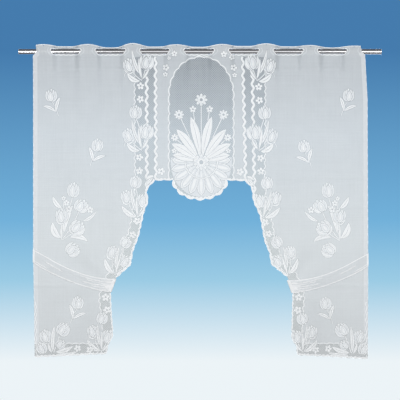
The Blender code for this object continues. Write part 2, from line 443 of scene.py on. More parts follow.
@dataclass(frozen=True)
class CurtainEdge:
    """The cut edge of the panel, with the mean lines that its edging follows."""

    heading: Heading
    side_left: float = -0.534
    side_right: float = 0.538
    scallop: float = 0.0255
    scallop_depth: float = 0.0024
    lower_scallop_depth: float = 0.0017
    valance: float = -0.410
    valance_scallop_depth: float = 0.0025
    lobe_half: float = 0.086
    lobe_depth: float = 0.061
    lobe_steps: int = 32
    lobe_scallop: float = 0.033
    lobe_scallop_depth: float = 0.006
    left_above: tuple = (
        (-0.144, -0.411), (-0.170, -0.442), (-0.167, -0.478), (-0.179, -0.510), (-0.188, -0.550),
        (-0.198, -0.592), (-0.215, -0.638), (-0.223, -0.680), (-0.241, -0.698), (-0.268, -0.723),
    )
    left_below: tuple = (
        (-0.286, -0.773), (-0.284, -0.826), (-0.279, -0.905), (-0.292, -0.934), (-0.300, -0.966),
    )
    right_above: tuple = (
        (0.144, -0.413), (0.165, -0.436), (0.172, -0.478), (0.191, -0.522), (0.200, -0.566),
        (0.207, -0.604), (0.223, -0.645), (0.229, -0.678), (0.251, -0.697), (0.279, -0.720),
    )
    right_below: tuple = (
        (0.297, -0.771), (0.295, -0.835), (0.294, -0.915), (0.307, -0.938), (0.311, -0.969),
    )
    hem_left: float = -0.977
    hem_right: float = -0.982
    side_step: float = 0.010

    def left_side(self) -> Line:
        """The left side of the cloth, from the heading down."""
        left = self.side_left
        return self.straight((-0.523, 0.0), (left, -0.014), (left, -0.655), (-0.529, self.hem_left))

    def right_side(self) -> Line:
        """The right side of the cloth, from the hem up."""
        return self.straight(
            (0.537, self.hem_right), (self.side_right, -0.665),
            (0.536, -0.150), (0.528, -0.012), (0.517, 0.0),
        )

    def straight(self, *points: tuple) -> Line:
        """Straight runs through the points, in steps of about the side's step.

        Args:
            *points: Pairs of x and z.

        Returns:
            The points of the line, both ends included.
        """
        line = [Vector(points[0])]
        for start, end in zip(points, points[1:]):
            parts = max(round((Vector(end) - Vector(start)).length / self.side_step), 1)
            for part in range(1, parts + 1):
                line.append(Vector(start).lerp(Vector(end), part / parts))
        return line

    def hems(self) -> tuple[Line, Line]:
        """The mean lines of the hems.

        Returns:
            The left and the right hem, both from left to right.
        """
        left = self.straight((-0.529, self.hem_left), self.left_below[-1])
        right = self.straight(self.right_below[-1], (0.537, self.hem_right))
        return left, right

    def legs(self) -> tuple[Line, Line, Line, Line]:
        """The mean lines of the inner edges: left below and above, right above and below."""
        return (
            smooth_line(self.left_below[::-1]), smooth_line(self.left_above[::-1]),
            smooth_line(self.right_above), smooth_line(self.right_below),
        )

    def valance_parts(self) -> tuple[Line, Line, Line]:
        """The mean lines over the open arch.

        Returns:
            The left run, the round lobe and the right run, all from left to right.
        """
        left = self.straight(self.left_above[0], (-self.lobe_half, self.valance))
        right = self.straight((self.lobe_half, self.valance), self.right_above[0])
        middle = Vector((0.0, self.valance))
        lobe = arc(middle, self.lobe_half, self.lobe_depth, 180.0, 360.0, self.lobe_steps)
        return left, lobe, right

    def scalloped(self, line: Line, depth: float, pitch: float | None = None) -> Line:
        """The line as a row of round scallops that stand out on its right-hand side."""
        return waved(line, pitch or self.scallop, depth, Wave.SCALLOP)

    def outline(self) -> Line:
        """The panel's edge.

        Returns:
            Its points, once round from the top right corner.
        """
        left_hem, right_hem = self.hems()
        left_lower, left_upper, right_upper, right_lower = self.legs()
        left, lobe, right = self.valance_parts()
        edge = self.heading.top_edge() + self.left_side()[:-1]
        edge += self.scalloped(left_hem, self.scallop_depth)[:-1]
        edge += self.scalloped(left_lower, self.lower_scallop_depth)
        edge += self.scalloped(left_upper, self.scallop_depth)[:-1]
        edge += self.scalloped(left, self.valance_scallop_depth)[:-1]
        edge += self.scalloped(lobe, self.lobe_scallop_depth, self.lobe_scallop)[:-1]
        edge += self.scalloped(right, self.valance_scallop_depth)[:-1]
        edge += self.scalloped(right_upper, self.scallop_depth)
        edge += self.scalloped(right_lower, self.lower_scallop_depth)[:-1]
        edge += self.scalloped(right_hem, self.scallop_depth)[:-1]
        return edge + self.right_side()


@dataclass(frozen=True)
class Place:
    """Where a motif is worked. Its own x and y run across and up from its root.

    A turn is in degrees, clockwise before the motif is mirrored.
    """

    x: float
    z: float
    turn: float = 0.0
    wide: float = MM
    tall: float = MM
    mirrored: bool = False

    def at(self, x: float, y: float) -> Vector:
        """A point of the motif on the cloth.

        Args:
            x: Place across the motif.
            y: Place up the motif.

        Returns:
            The point, as x and z.
        """
        turn = math.radians(self.turn)
        across, up = x * self.wide, y * self.tall
        side = across * math.cos(turn) + up * math.sin(turn)
        height = up * math.cos(turn) - across * math.sin(turn)
        return Vector((self.x + (-side if self.mirrored else side), self.z + height))

    def inner(self, x: float, y: float, turn: float, wide: float, tall: float) -> "Place":
        """The place of a smaller motif that belongs to this one.

        Args:
            x: Place of its root across this motif.
            y: Place of its root up this motif.
            turn: Its turn against this motif, in degrees.
            wide: Its width, in this motif's units.
            tall: Its height, in this motif's units.

        Returns:
            Its place.
        """
        spot = self.at(x, y)
        scale_x, scale_y = wide * self.wide, tall * self.tall
        return Place(spot.x, spot.y, self.turn + turn, scale_x, scale_y, self.mirrored)


@dataclass(frozen=True)
class Blade:
    """A petal or leaf along a bent spine, in the units of its place."""

    base: tuple
    bend: tuple
    tip: tuple
    width: float
    swell: float = 0.5
    fullness: float = 0.8
    parts: int = 8
    tip_inset: float = 1.5

    def outline(self, place: Place, inset: float = 0.0, width: float | None = None) -> Line:
        """The blade's closed edge on the cloth.

        Args:
            place: Where the motif is worked.
            inset: How far the edge is moved inwards, or outwards if negative.
            width: A width in metres that stands in for the blade's own.

        Returns:
            The points of the edge, once round.
        """
        base, bend, tip = (place.at(*point) for point in (self.base, self.bend, self.tip))
        length = (bend - base).length + (tip - bend).length
        cut = self.tip_inset * inset / length
        half = (self.width * place.wide if width is None else width) / 2.0 - inset
        rise = math.log(0.5) / math.log(self.swell)
        right, left = [], []
        for part in range(self.parts + 1):
            share = part / self.parts
            t = cut + (1.0 - 2.0 * cut) * share
            spot = base * (1 - t) ** 2 + bend * (2 * t * (1 - t)) + tip * t**2
            along = (bend - base) * (1 - t) + (tip - bend) * t
            out = Vector((along.y, -along.x)).normalized()
            if 0 < part < self.parts:
                reach = half * math.sin(math.pi * share**rise) ** self.fullness
                right.append(spot + out * reach)
                left.append(spot - out * reach)
            else:
                right.append(spot)
        return right + left[::-1]


@dataclass
class Drawing:
    """The lace's shapes in working order, with the widths of its lines."""

    halo: float = 0.0015
    rim: float = 0.0026
    groove: float = 0.0022
    middle: float = 0.38
    wide_petal: float = 0.0130
    wide_leaf: float = 0.0080
    vein: float = 0.0013
    cord_halo: float = 1.6
    stem_steps: int = 8
    wide_flower: float = 0.030
    flower_hole: float = 0.125
    hole_corners: int = 12
    petal_steps: int = 6
    petal_foot: float = 0.46
    petal_roundness: float = 0.7
    flower_groove: Blade = Blade((0.0, 0.18), (0.0, 0.28), (0.0, 0.40), 0.07, parts=5)

    def __post_init__(self) -> None:
        """Starts with no shapes."""
        self.shapes: list[tuple[Line, Ground]] = []

    def area(self, line: Line, ground: Ground) -> None:
        """Works a closed shape in this ground, its edge turned to run counter-clockwise."""
        doubled = sum(a.x * b.y - b.x * a.y for a, b in zip(line, line[1:] + line[:1]))
        self.shapes.append((line if doubled > 0.0 else line[::-1], ground))

    def strip(self, line: Line, width: float, ground: Ground) -> None:
        """Works an open line of this width."""
        self.area(beside(line, width / 2) + beside(line, -width / 2)[::-1], ground)

    def cord(self, line: Line, width: float) -> None:
        """Works a raised white line between two thin rows of open stitches."""
        self.strip(line, width + self.cord_halo * self.halo, Ground.OPEN)
        self.strip(line, width, Ground.DENSE)

    def stem(self, place: Place, base: tuple, bend: tuple, tip: tuple, width: float = 0.0024) -> None:
        """Works a thin bent stem.

        Args:
            place: Where the motif is worked.
            base: The stem's foot in the motif.
            bend: The point that it bends towards.
            tip: Its upper end.
            width: Its width.
        """
        start, middle, end = (place.at(*point) for point in (base, bend, tip))
        shares = [part / self.stem_steps for part in range(self.stem_steps + 1)]
        line = [start * (1 - t) ** 2 + middle * (2 * t * (1 - t)) + end * t**2 for t in shares]
        self.cord(line, width)

    def petal(self, place: Place, blade: Blade) -> None:
        """Works a white petal with a fainter field and, if it is wide, a white middle in it.

        Args:
            place: Where the motif is worked.
            blade: The petal's shape.
        """
        self.area(blade.outline(place, -self.halo), Ground.OPEN)
        self.area(blade.outline(place), Ground.DENSE)
        self.area(blade.outline(place, self.rim), Ground.FILL)
        wide = blade.width * place.wide
        if wide > self.wide_petal:
            inset = self.rim + self.groove
            self.area(blade.outline(place, inset, self.middle * wide + 2.0 * inset), Ground.DENSE)

    def leaf(self, place: Place, blade: Blade) -> None:
        """Works a white leaf, with an open vein if it is wide.

        Args:
            place: Where the motif is worked.
            blade: The leaf's shape.
        """
        self.area(blade.outline(place, -self.halo), Ground.OPEN)
        self.area(blade.outline(place), Ground.DENSE)
        if blade.width * place.wide > self.wide_leaf:
            self.area(blade.outline(place, self.rim, self.vein + 2.0 * self.rim), Ground.OPEN)

    def rosette(self, centre: Vector, size: float, petals: int = 5, turn: float = 90.0) -> None:
        """Works a small open flower with a hole in its middle.

        Args:
            centre: Its middle.
            size: Its width across.
            petals: How many petals it has.
            turn: The direction of its first petal, in degrees.
        """
        steps = self.petal_steps * petals
        edge, halo = [], []
        for step in range(steps):
            angle = 2.0 * math.pi * step / steps
            notch = abs(math.cos(petals * angle / 2.0)) ** self.petal_roundness
            reach = size / 2.0 * (self.petal_foot + (1.0 - self.petal_foot) * notch)
            angle += math.radians(turn)
            out = Vector((math.cos(angle), math.sin(angle)))
            edge.append(centre + out * reach)
            halo.append(centre + out * (reach + self.halo))
        self.area(halo, Ground.OPEN)
        self.area(edge, Ground.DENSE)
        if size > self.wide_flower:
            for petal in range(petals):
                place = Place(centre.x, centre.y, 90.0 - turn - 360.0 * petal / petals, size, size)
                self.area(self.flower_groove.outline(place), Ground.FILL)
        self.area(disc(centre, self.flower_hole * size, self.hole_corners), Ground.OPEN)


@dataclass(frozen=True)
class TulipBloom:
    """One tulip, drawn about the middle of its base, one unit wide and one unit tall."""

    back: tuple = (
        Blade((0.02, 0.35), (0.02, 0.74), (0.08, 1.08), 0.28),
        Blade((-0.05, 0.30), (-0.28, 0.62), (-0.18, 1.00), 0.26),
        Blade((0.10, 0.25), (0.30, 0.60), (0.27, 0.97), 0.27),
    )
    sides: tuple = (
        Blade((0.00, 0.00), (-0.60, 0.22), (-0.40, 0.93), 0.33, 0.44),
        Blade((0.00, 0.00), (0.62, 0.20), (0.44, 0.89), 0.35, 0.44),
    )
    front: Blade = Blade((0.00, 0.00), (-0.14, 0.40), (-0.02, 0.86), 0.54, 0.42)
    sepal: Blade = Blade((-0.56, 0.40), (-0.40, -0.42), (0.40, 0.04), 0.13)

    def draw(self, drawing: Drawing, place: Place, sepal: bool = False) -> None:
        """Works the bloom, back petals first.

        Args:
            drawing: The lace.
            place: The middle of its base, its lean and its size.
            sepal: Whether a crescent leaf cups it.
        """
        for blade in self.back + self.sides:
            drawing.petal(place, blade)
        drawing.petal(place, self.front)
        if sepal:
            drawing.leaf(place, self.sepal)


@dataclass(frozen=True)
class TulipSpray:
    """Three tulips with their leaves, in millimetres from where their stems meet."""

    bloom: TulipBloom = TulipBloom()
    leaves: tuple = (
        Blade((-5, 20), (-24, 50), (-31, 99), 11, 0.42),
        Blade((1, 6), (-8, 34), (-9, 72), 8, 0.45),
        Blade((3, 4), (14, 16), (25, 40), 7, 0.45),
        Blade((-5, -2), (-32, -4), (-46, 24), 16, 0.5),
    )
    tendril: tuple = ((-46, 24), (-56, 22), (-55, 12))
    stems: tuple = (
        ((0, 0), (-16, 10), (-32, 32)),
        ((0, 0), (8, 18), (13, 38)),
        ((0, 0), (2, 62), (-17, 103)),
    )
    blooms: tuple = ((-34, 28, -16, 35, 42), (13, 36, 6, 40, 47), (-19, 101, 2, 34, 41))

    @classmethod
    def raised(cls) -> "TulipSpray":
        """The form along the legs, whose outer tulip and leaf stand higher."""
        return cls(
            leaves=(*cls.leaves[:3], Blade((-4, 2), (-36, 4), (-58, 36), 17, 0.5)),
            tendril=((-22, 40), (-46, 44), (-56, 60)),
            stems=(((0, 0), (-22, 20), (-36, 50)), *cls.stems[1:]),
            blooms=((-38, 48, -16, 35, 42), *cls.blooms[1:]),
        )

    def draw(self, drawing: Drawing, place: Place, topped: bool = True) -> None:
        """Works the spray from its root.

        Args:
            drawing: The lace.
            place: Where its stems meet.
            topped: Whether it has the upper tulip on its long stem.
        """
        count = len(self.blooms) - (not topped)
        for base, bend, tip in self.stems[:count]:
            drawing.stem(place, base, bend, tip)
        drawing.stem(place, *self.tendril, width=0.0017)
        for index, (x, y, turn, wide, tall) in enumerate(self.blooms[:count]):
            self.bloom.draw(drawing, place.inner(x, y, turn, wide, tall), sepal=index == 0)
        for leaf in self.leaves:
            drawing.leaf(place, leaf)


@dataclass(frozen=True)
class SingleTulip:
    """One small tulip on a bent stem with two leaves, in millimetres from its leaves."""

    bloom: TulipBloom = TulipBloom()
    leaves: tuple = (
        Blade((4, -11), (-18, 8), (-38, 7), 10, 0.5),
        Blade((3, -11), (3, 12), (15, 36), 11, 0.55),
    )

    def draw(self, drawing: Drawing, place: Place) -> None:
        """Works the tulip.

        Args:
            drawing: The lace.
            place: Where its leaves meet its stem.
        """
        drawing.stem(place, (11, -24), (5, 2), (-11, 24), width=0.0018)
        for leaf in self.leaves:
            drawing.leaf(place, leaf)
        self.bloom.draw(drawing, place.inner(-11, 22, -4, 31, 39))


@dataclass(frozen=True)
class SideBouquet:
    """The large bouquet beside each tie, in millimetres from where its stems meet."""

    bloom: TulipBloom = TulipBloom()
    blooms: tuple = (
        (36, 138, 4, 33, 46), (56, 92, 22, 39, 40), (2, 58, -4, 34, 43), (38, 26, 42, 42, 42),
    )
    lone_bloom: tuple = (21, -44, 46, 40, 42)
    flowers: tuple = ((7, 135, 15), (16, 120, 20), (24, 100, 22), (92, 98, 22))
    leaves: tuple = (
        Blade((2, 103), (-20, 112), (-28, 141), 14, 0.5),
        Blade((9, 24), (6, 78), (38, 112), 22, 0.5),
        Blade((70, 63), (92, 66), (113, 94), 10, 0.45),
        Blade((-2, 8), (-30, 20), (-28, 58), 20, 0.5),
        Blade((28, 9), (56, 22), (84, -3), 16, 0.5),
        Blade((0, 0), (-2, 30), (3, 58), 6, 0.5),
    )
    stems: tuple = (
        ((0, 0), (14, 70), (36, 138)), ((0, 0), (34, 40), (56, 92)), ((0, 0), (24, 14), (38, 26)),
        ((20, 60), (4, 90), (7, 128)),
    )

    def draw(self, drawing: Drawing, place: Place) -> None:
        """Works the bouquet from its root.

        Args:
            drawing: The lace.
            place: Where its stems meet.
        """
        for base, bend, tip in self.stems:
            drawing.stem(place, base, bend, tip)
        for x, y, turn, wide, tall in self.blooms[:2]:
            self.bloom.draw(drawing, place.inner(x, y, turn, wide, tall))
        for leaf in self.leaves:
            drawing.leaf(place, leaf)
        for x, y, turn, wide, tall in self.blooms[2:]:
            self.bloom.draw(drawing, place.inner(x, y, turn, wide, tall), sepal=True)
        self.bloom.draw(drawing, place.inner(*self.lone_bloom))
        for x, y, size in self.flowers:
            drawing.rosette(place.at(x, y), size * MM)


@dataclass(frozen=True)
class CornerBouquet:
    """The tulips at each outer corner of the hem, in millimetres from their root."""

    bloom: TulipBloom = TulipBloom()
    blooms: tuple = (
        (-20, 33, -14, 33, 40), (22, 56, 28, 36, 42), (-30, -3, -22, 28, 38), (15, 14, 34, 26, 30),
    )
    leaves: tuple = (
        Blade((-1, 2), (-4, 44), (4, 86), 12, 0.45),
        Blade((8, 2), (34, 0), (63, 20), 15, 0.5),
        Blade((-4, 0), (-14, 12), (-16, 32), 8, 0.5),
        Blade((10, -6), (44, -10), (80, 4), 9, 0.45),
    )

    def draw(self, drawing: Drawing, place: Place) -> None:
        """Works the bouquet from its root.

        Args:
            drawing: The lace.
            place: Where its stems meet.
        """
        drawing.stem(place, (0, 0), (-6, 20), (-20, 34))
        drawing.stem(place, (2, 0), (12, 30), (22, 57))
        for x, y, turn, wide, tall in self.blooms:
            self.bloom.draw(drawing, place.inner(x, y, turn, wide, tall))
        for leaf in self.leaves:
            drawing.leaf(place, leaf)


@dataclass(frozen=True)
class Medallion:
    """The arched field in the middle, with a spray of leaves over a shell in the lobe."""

    centre: float = 0.004
    half: float = 0.101
    spring: float = -0.138
    rise: float = 0.120
    foot: float = -0.500
    hub: float = -0.354
    line_width: float = 0.0031
    scallop: float = 0.0300
    scallop_depth: float = 0.0044
    leaves: tuple = (
        (-76, 94, 25), (76, 94, 25), (-58, 112, 26), (58, 112, 26), (-37, 132, 27), (37, 132, 27),
        (-13, 150, 26), (13, 150, 26),
    )
    flowers: tuple = (
        (0, 200, 40, 8), (-9, 172, 22, 5), (9, 172, 22, 5), (-25, 168, 31, 8), (25, 168, 31, 8),
        (-47, 116, 24, 7), (47, 116, 24, 7), (-67, 94, 17, 5), (67, 94, 17, 5),
    )
    shell_ribs: int = 11
    shell_spread: float = 95.0
    shell_reach: tuple = (94, 107)
    shell_band: float = 0.050
    shell_field: tuple = (0.098, 0.111)
    shell_arc: tuple = (172.0, 368.0)
    shell_steps: int = 40
    rib_from: float = 18
    rib_width: float = 25
    rib_swell: float = 0.66
    rib_fullness: float = 0.6
    band_pitch: float = 0.0165
    band_wave: float = 0.0022
    band_width: float = 0.0036
    stem_from: float = 10
    leaf_from: float = 12
    leaf_bow: float = 7
    leaf_swell: float = 0.56
    hub_flower: float = 0.052
    hub_petals: int = 10
    side_steps: int = 24
    top_steps: int = 36

    def arch(self) -> Line:
        """The arch's line.

        Returns:
            Its points, from its left foot over its top to its right foot.
        """
        left, right = self.centre - self.half, self.centre + self.half
        foot, spring, steps = self.foot, self.spring, self.side_steps
        rising = [Vector((left, foot + (spring - foot) * step / steps)) for step in range(steps)]
        top = arc(Vector((self.centre, spring)), -self.half, self.rise, 0.0, 180.0, self.top_steps)
        falling = [Vector((right, spring + (foot - spring) * step / steps)) for step in range(1, steps)]
        return rising + top + falling

    def draw_ground(self, drawing: Drawing) -> None:
        """Works the open net inside the arch."""
        drawing.area(self.arch(), Ground.NET)

    def draw(self, drawing: Drawing) -> None:
        """Works the arch's scalloped line, the shell and the flowers.

        Args:
            drawing: The lace.
        """
        line = waved(self.arch(), self.scallop, -self.scallop_depth, Wave.SCALLOP)
        drawing.strip(line, self.line_width, Ground.DENSE)
        self.draw_shell(drawing)
        self.draw_spray(drawing)

    def draw_spray(self, drawing: Drawing) -> None:
        """Works flowers on stems between broad leaves, and the flower at their foot.

        Args:
            drawing: The lace.
        """
        for angle, reach, _, _ in self.flowers:
            place = Place(self.centre, self.hub, angle)
            drawing.stem(place, (0, self.stem_from), (0, reach * 0.5), (0, reach - 8))
        for angle, reach, width in self.leaves:
            place = Place(self.centre, self.hub, angle)
            bend = (self.leaf_bow if angle < 0 else -self.leaf_bow, reach * 0.6)
            drawing.leaf(place, Blade((0, self.leaf_from), bend, (0, reach), width, self.leaf_swell))
        for angle, reach, size, petals in self.flowers:
            place = Place(self.centre, self.hub, angle)
            drawing.rosette(place.at(0, reach), size * MM, petals)
        drawing.rosette(Vector((self.centre, self.hub)), self.hub_flower, self.hub_petals)

    def draw_shell(self, drawing: Drawing) -> None:
        """Works the field, the ribs and the band of the shell that fills the valance's lobe.

        Args:
            drawing: The lace.
        """
        hub = Vector((self.centre, self.hub))
        drawing.area(arc(hub, *self.shell_field, *self.shell_arc, self.shell_steps), Ground.FILL)
        short, long = self.shell_reach
        for rib in range(self.shell_ribs):
            share = 2.0 * rib / (self.shell_ribs - 1) - 1.0
            place = Place(self.centre, self.hub, 180.0 + self.shell_spread * share)
            reach = long - (long - short) * share**2
            start, bend, tip = (0, self.rib_from), (0, reach * 0.6), (0, reach)
            rib_shape = Blade(start, bend, tip, self.rib_width, self.rib_swell, self.rib_fullness)
            drawing.petal(place, rib_shape)
        band = arc(hub, self.shell_band, self.shell_band, *self.shell_arc, self.shell_steps)
        drawing.cord(waved(band, self.band_pitch, self.band_wave, Wave.SCALLOP), self.band_width)


@dataclass(frozen=True)
class SideMotifs:
    """Where one side's motifs are worked, from the heading down."""

    sprays: tuple
    bouquet: Place
    corner: Place
    singles: tuple
    flowers: tuple
    valance_corner: Place
    upright_sprays: int = 2
    corner_leaves: tuple = (
        Blade((0, 0), (-12, -4), (-22, -26), 9, 0.5),
        Blade((2, 5), (-12, 7), (-23, -6), 8, 0.5),
    )
    flower_turn: float = 25.0

    def draw(self, drawing: Drawing) -> None:
        """Works this side's sprays, bouquets, single tulips, leaves and small flowers.

        Args:
            drawing: The lace.
        """
        for index, place in enumerate(self.sprays):
            spray = TulipSpray() if index < self.upright_sprays else TulipSpray.raised()
            spray.draw(drawing, place, topped=index > 0)
        SideBouquet().draw(drawing, self.bouquet)
        CornerBouquet().draw(drawing, self.corner)
        for place in self.singles:
            SingleTulip().draw(drawing, place)
        for leaf in self.corner_leaves:
            drawing.leaf(self.valance_corner, leaf)
        for index, (x, z, size) in enumerate(self.flowers):
            turn = 90.0 + self.flower_turn * (index % 3)
            drawing.rosette(Vector((x, z)) * MM, size * MM, turn=turn)


LEFT_MOTIFS = SideMotifs(
    sprays=(
        Place(-0.187, -0.092), Place(-0.188, -0.315),
        Place(-0.201, -0.531, 6.0, 0.93 * MM, 0.93 * MM),
        Place(-0.273, -0.714, 27.0, 0.90 * MM, 0.90 * MM),
        Place(-0.316, -0.961, 10.0, 0.88 * MM, 0.88 * MM),
    ),
    bouquet=Place(-0.4435, -0.604),
    corner=Place(-0.470, -0.963),
    valance_corner=Place(-0.150, -0.404),
    singles=(
        Place(-0.464, -0.182),
        Place(-0.340, -0.341, mirrored=True),
        Place(-0.403, -0.845, mirrored=True),
    ),
    flowers=(
        (-190, -110, 24), (-191, -152, 24), (-194, -338, 24), (-194, -382, 24), (-202, -542, 24),
        (-215, -586, 23), (-302, -786, 25), (-298, -827, 25), (-124, -383, 25), (-82, -7, 21),
        (-99, -21, 13), (-109, -51, 23), (-111, -73, 17), (-392, -950, 23), (-353, -955, 23),
    ),
)

RIGHT_MOTIFS = SideMotifs(
    sprays=(
        Place(0.183, -0.093, mirrored=True), Place(0.189, -0.317, mirrored=True),
        Place(0.204, -0.534, 3.0, 0.93 * MM, 0.93 * MM, True),
        Place(0.281, -0.714, 27.0, 0.90 * MM, 0.90 * MM, True),
        Place(0.330, -0.962, 10.0, 0.88 * MM, 0.88 * MM, True),
    ),
    bouquet=Place(0.4475, -0.605, mirrored=True),
    corner=Place(0.486, -0.965, mirrored=True),
    valance_corner=Place(0.150, -0.406, mirrored=True),
    singles=(Place(0.463, -0.181, mirrored=True), Place(0.345, -0.345), Place(0.414, -0.847)),
    flowers=(
        (188, -113, 24), (190, -156, 24), (194, -341, 24), (195, -383, 24), (208, -546, 24),
        (220, -583, 23), (316, -786, 25), (313, -827, 25), (128, -385, 25), (76, -9, 21),
        (102, -18, 20), (108, -51, 23), (111, -75, 17), (371, -955, 23), (411, -951, 23),
    ),
)


@dataclass(frozen=True)
class Borders:
    """The bands of net, the wavy ribbons and the thin wavy lines beside them."""

    edge: CurtainEdge
    ribbons: tuple = ((-0.1425, -0.1405), (-0.171, -0.170), (0.1365, 0.148), (0.167, 0.175))
    ribbon_foot: float = -0.500
    ribbon_width: float = 0.0070
    ribbon_pitch: float = 0.0263
    ribbon_wave: float = 0.0031
    outer_line: tuple = (-0.209, 0.209)
    line_width: float = 0.0028
    line_pitch: float = 0.021
    line_wave: float = 0.0020
    band_width: float = 0.034
    leg_from: float = -0.500
    hem_band: float = -0.936
    hem_line_wave: float = 0.0032
    ribbon_top: float = -0.016
    ribbon_steps: int = 40
    outer_rows: tuple = (-0.018, -0.25, -0.44)
    below_hem: float = -1.1
    past_side: float = 0.6

    def ribbon(self, top: float, foot: float) -> Line:
        """The mean line of a ribbon.

        Args:
            top: Its place across at the heading.
            foot: Its place across at its foot.

        Returns:
            Its points, from the heading down.
        """
        start, end = Vector((top, self.ribbon_top)), Vector((foot, self.ribbon_foot))
        shares = [step / self.ribbon_steps for step in range(self.ribbon_steps + 1)]
        return [start.lerp(end, share) for share in shares]

    def outer(self, side: int) -> Line:
        """The thin line that bounds a border: upright at first, then beside the leg's edge.

        Args:
            side: 0 for the left border and 1 for the right one.

        Returns:
            The line's points, from the heading down.
        """
        legs = self.edge.legs()
        upper, lower = (legs[1][::-1], legs[0][::-1]) if side == 0 else (legs[2], legs[3])
        away = self.band_width if side == 0 else -self.band_width
        path = [(self.outer_line[side], z) for z in self.outer_rows]
        for point in beside(upper, away)[::10] + beside(lower, away)[::8]:
            if self.hem_band < point.y < self.leg_from:
                path.append(tuple(point))
        path.append((path[-1][0], self.hem_band))
        return smooth_line(tuple(path), 6)

    def draw_ground(self, drawing: Drawing) -> None:
        """Works the net of both borders and of the band over each hem.

        Args:
            drawing: The lace.
        """
        for side, direction in ((0, -1), (1, 1)):
            line = self.outer(side)
            inner = self.ribbons[0] if side == 0 else self.ribbons[2]
            below = Vector((line[-1].x, self.below_hem))
            middle = Vector((0.0, self.below_hem))
            drawing.area(line + [below, middle] + self.ribbon(*inner)[::-1], Ground.NET)
            outside = direction * self.past_side
            band = [Vector((line[-1].x, self.hem_band)), Vector((outside, self.hem_band))]
            drawing.area(band + [Vector((outside, self.below_hem)), below], Ground.NET)

    def draw(self, drawing: Drawing) -> None:
        """Works the ribbons and the thin lines.

        Args:
            drawing: The lace.
        """
        for top, foot in self.ribbons:
            path = waved(self.ribbon(top, foot), self.ribbon_pitch, self.ribbon_wave, Wave.ZIGZAG, 12)
            drawing.cord(path, self.ribbon_width)
        for side in (0, 1):
            line = waved(self.outer(side), self.line_pitch, self.line_wave, Wave.RIPPLE, 8)
            drawing.strip(line, self.line_width, Ground.DENSE)
            foot = line[-1]
            outside = self.edge.side_left if side == 0 else self.edge.side_right
            hem = self.edge.straight((foot.x, self.hem_band), (outside, self.hem_band))
            out = self.hem_line_wave if side == 0 else -self.hem_line_wave
            low_line = waved(hem, self.line_pitch, out, Wave.SCALLOP)
            drawing.strip(low_line, self.line_width, Ground.DENSE)


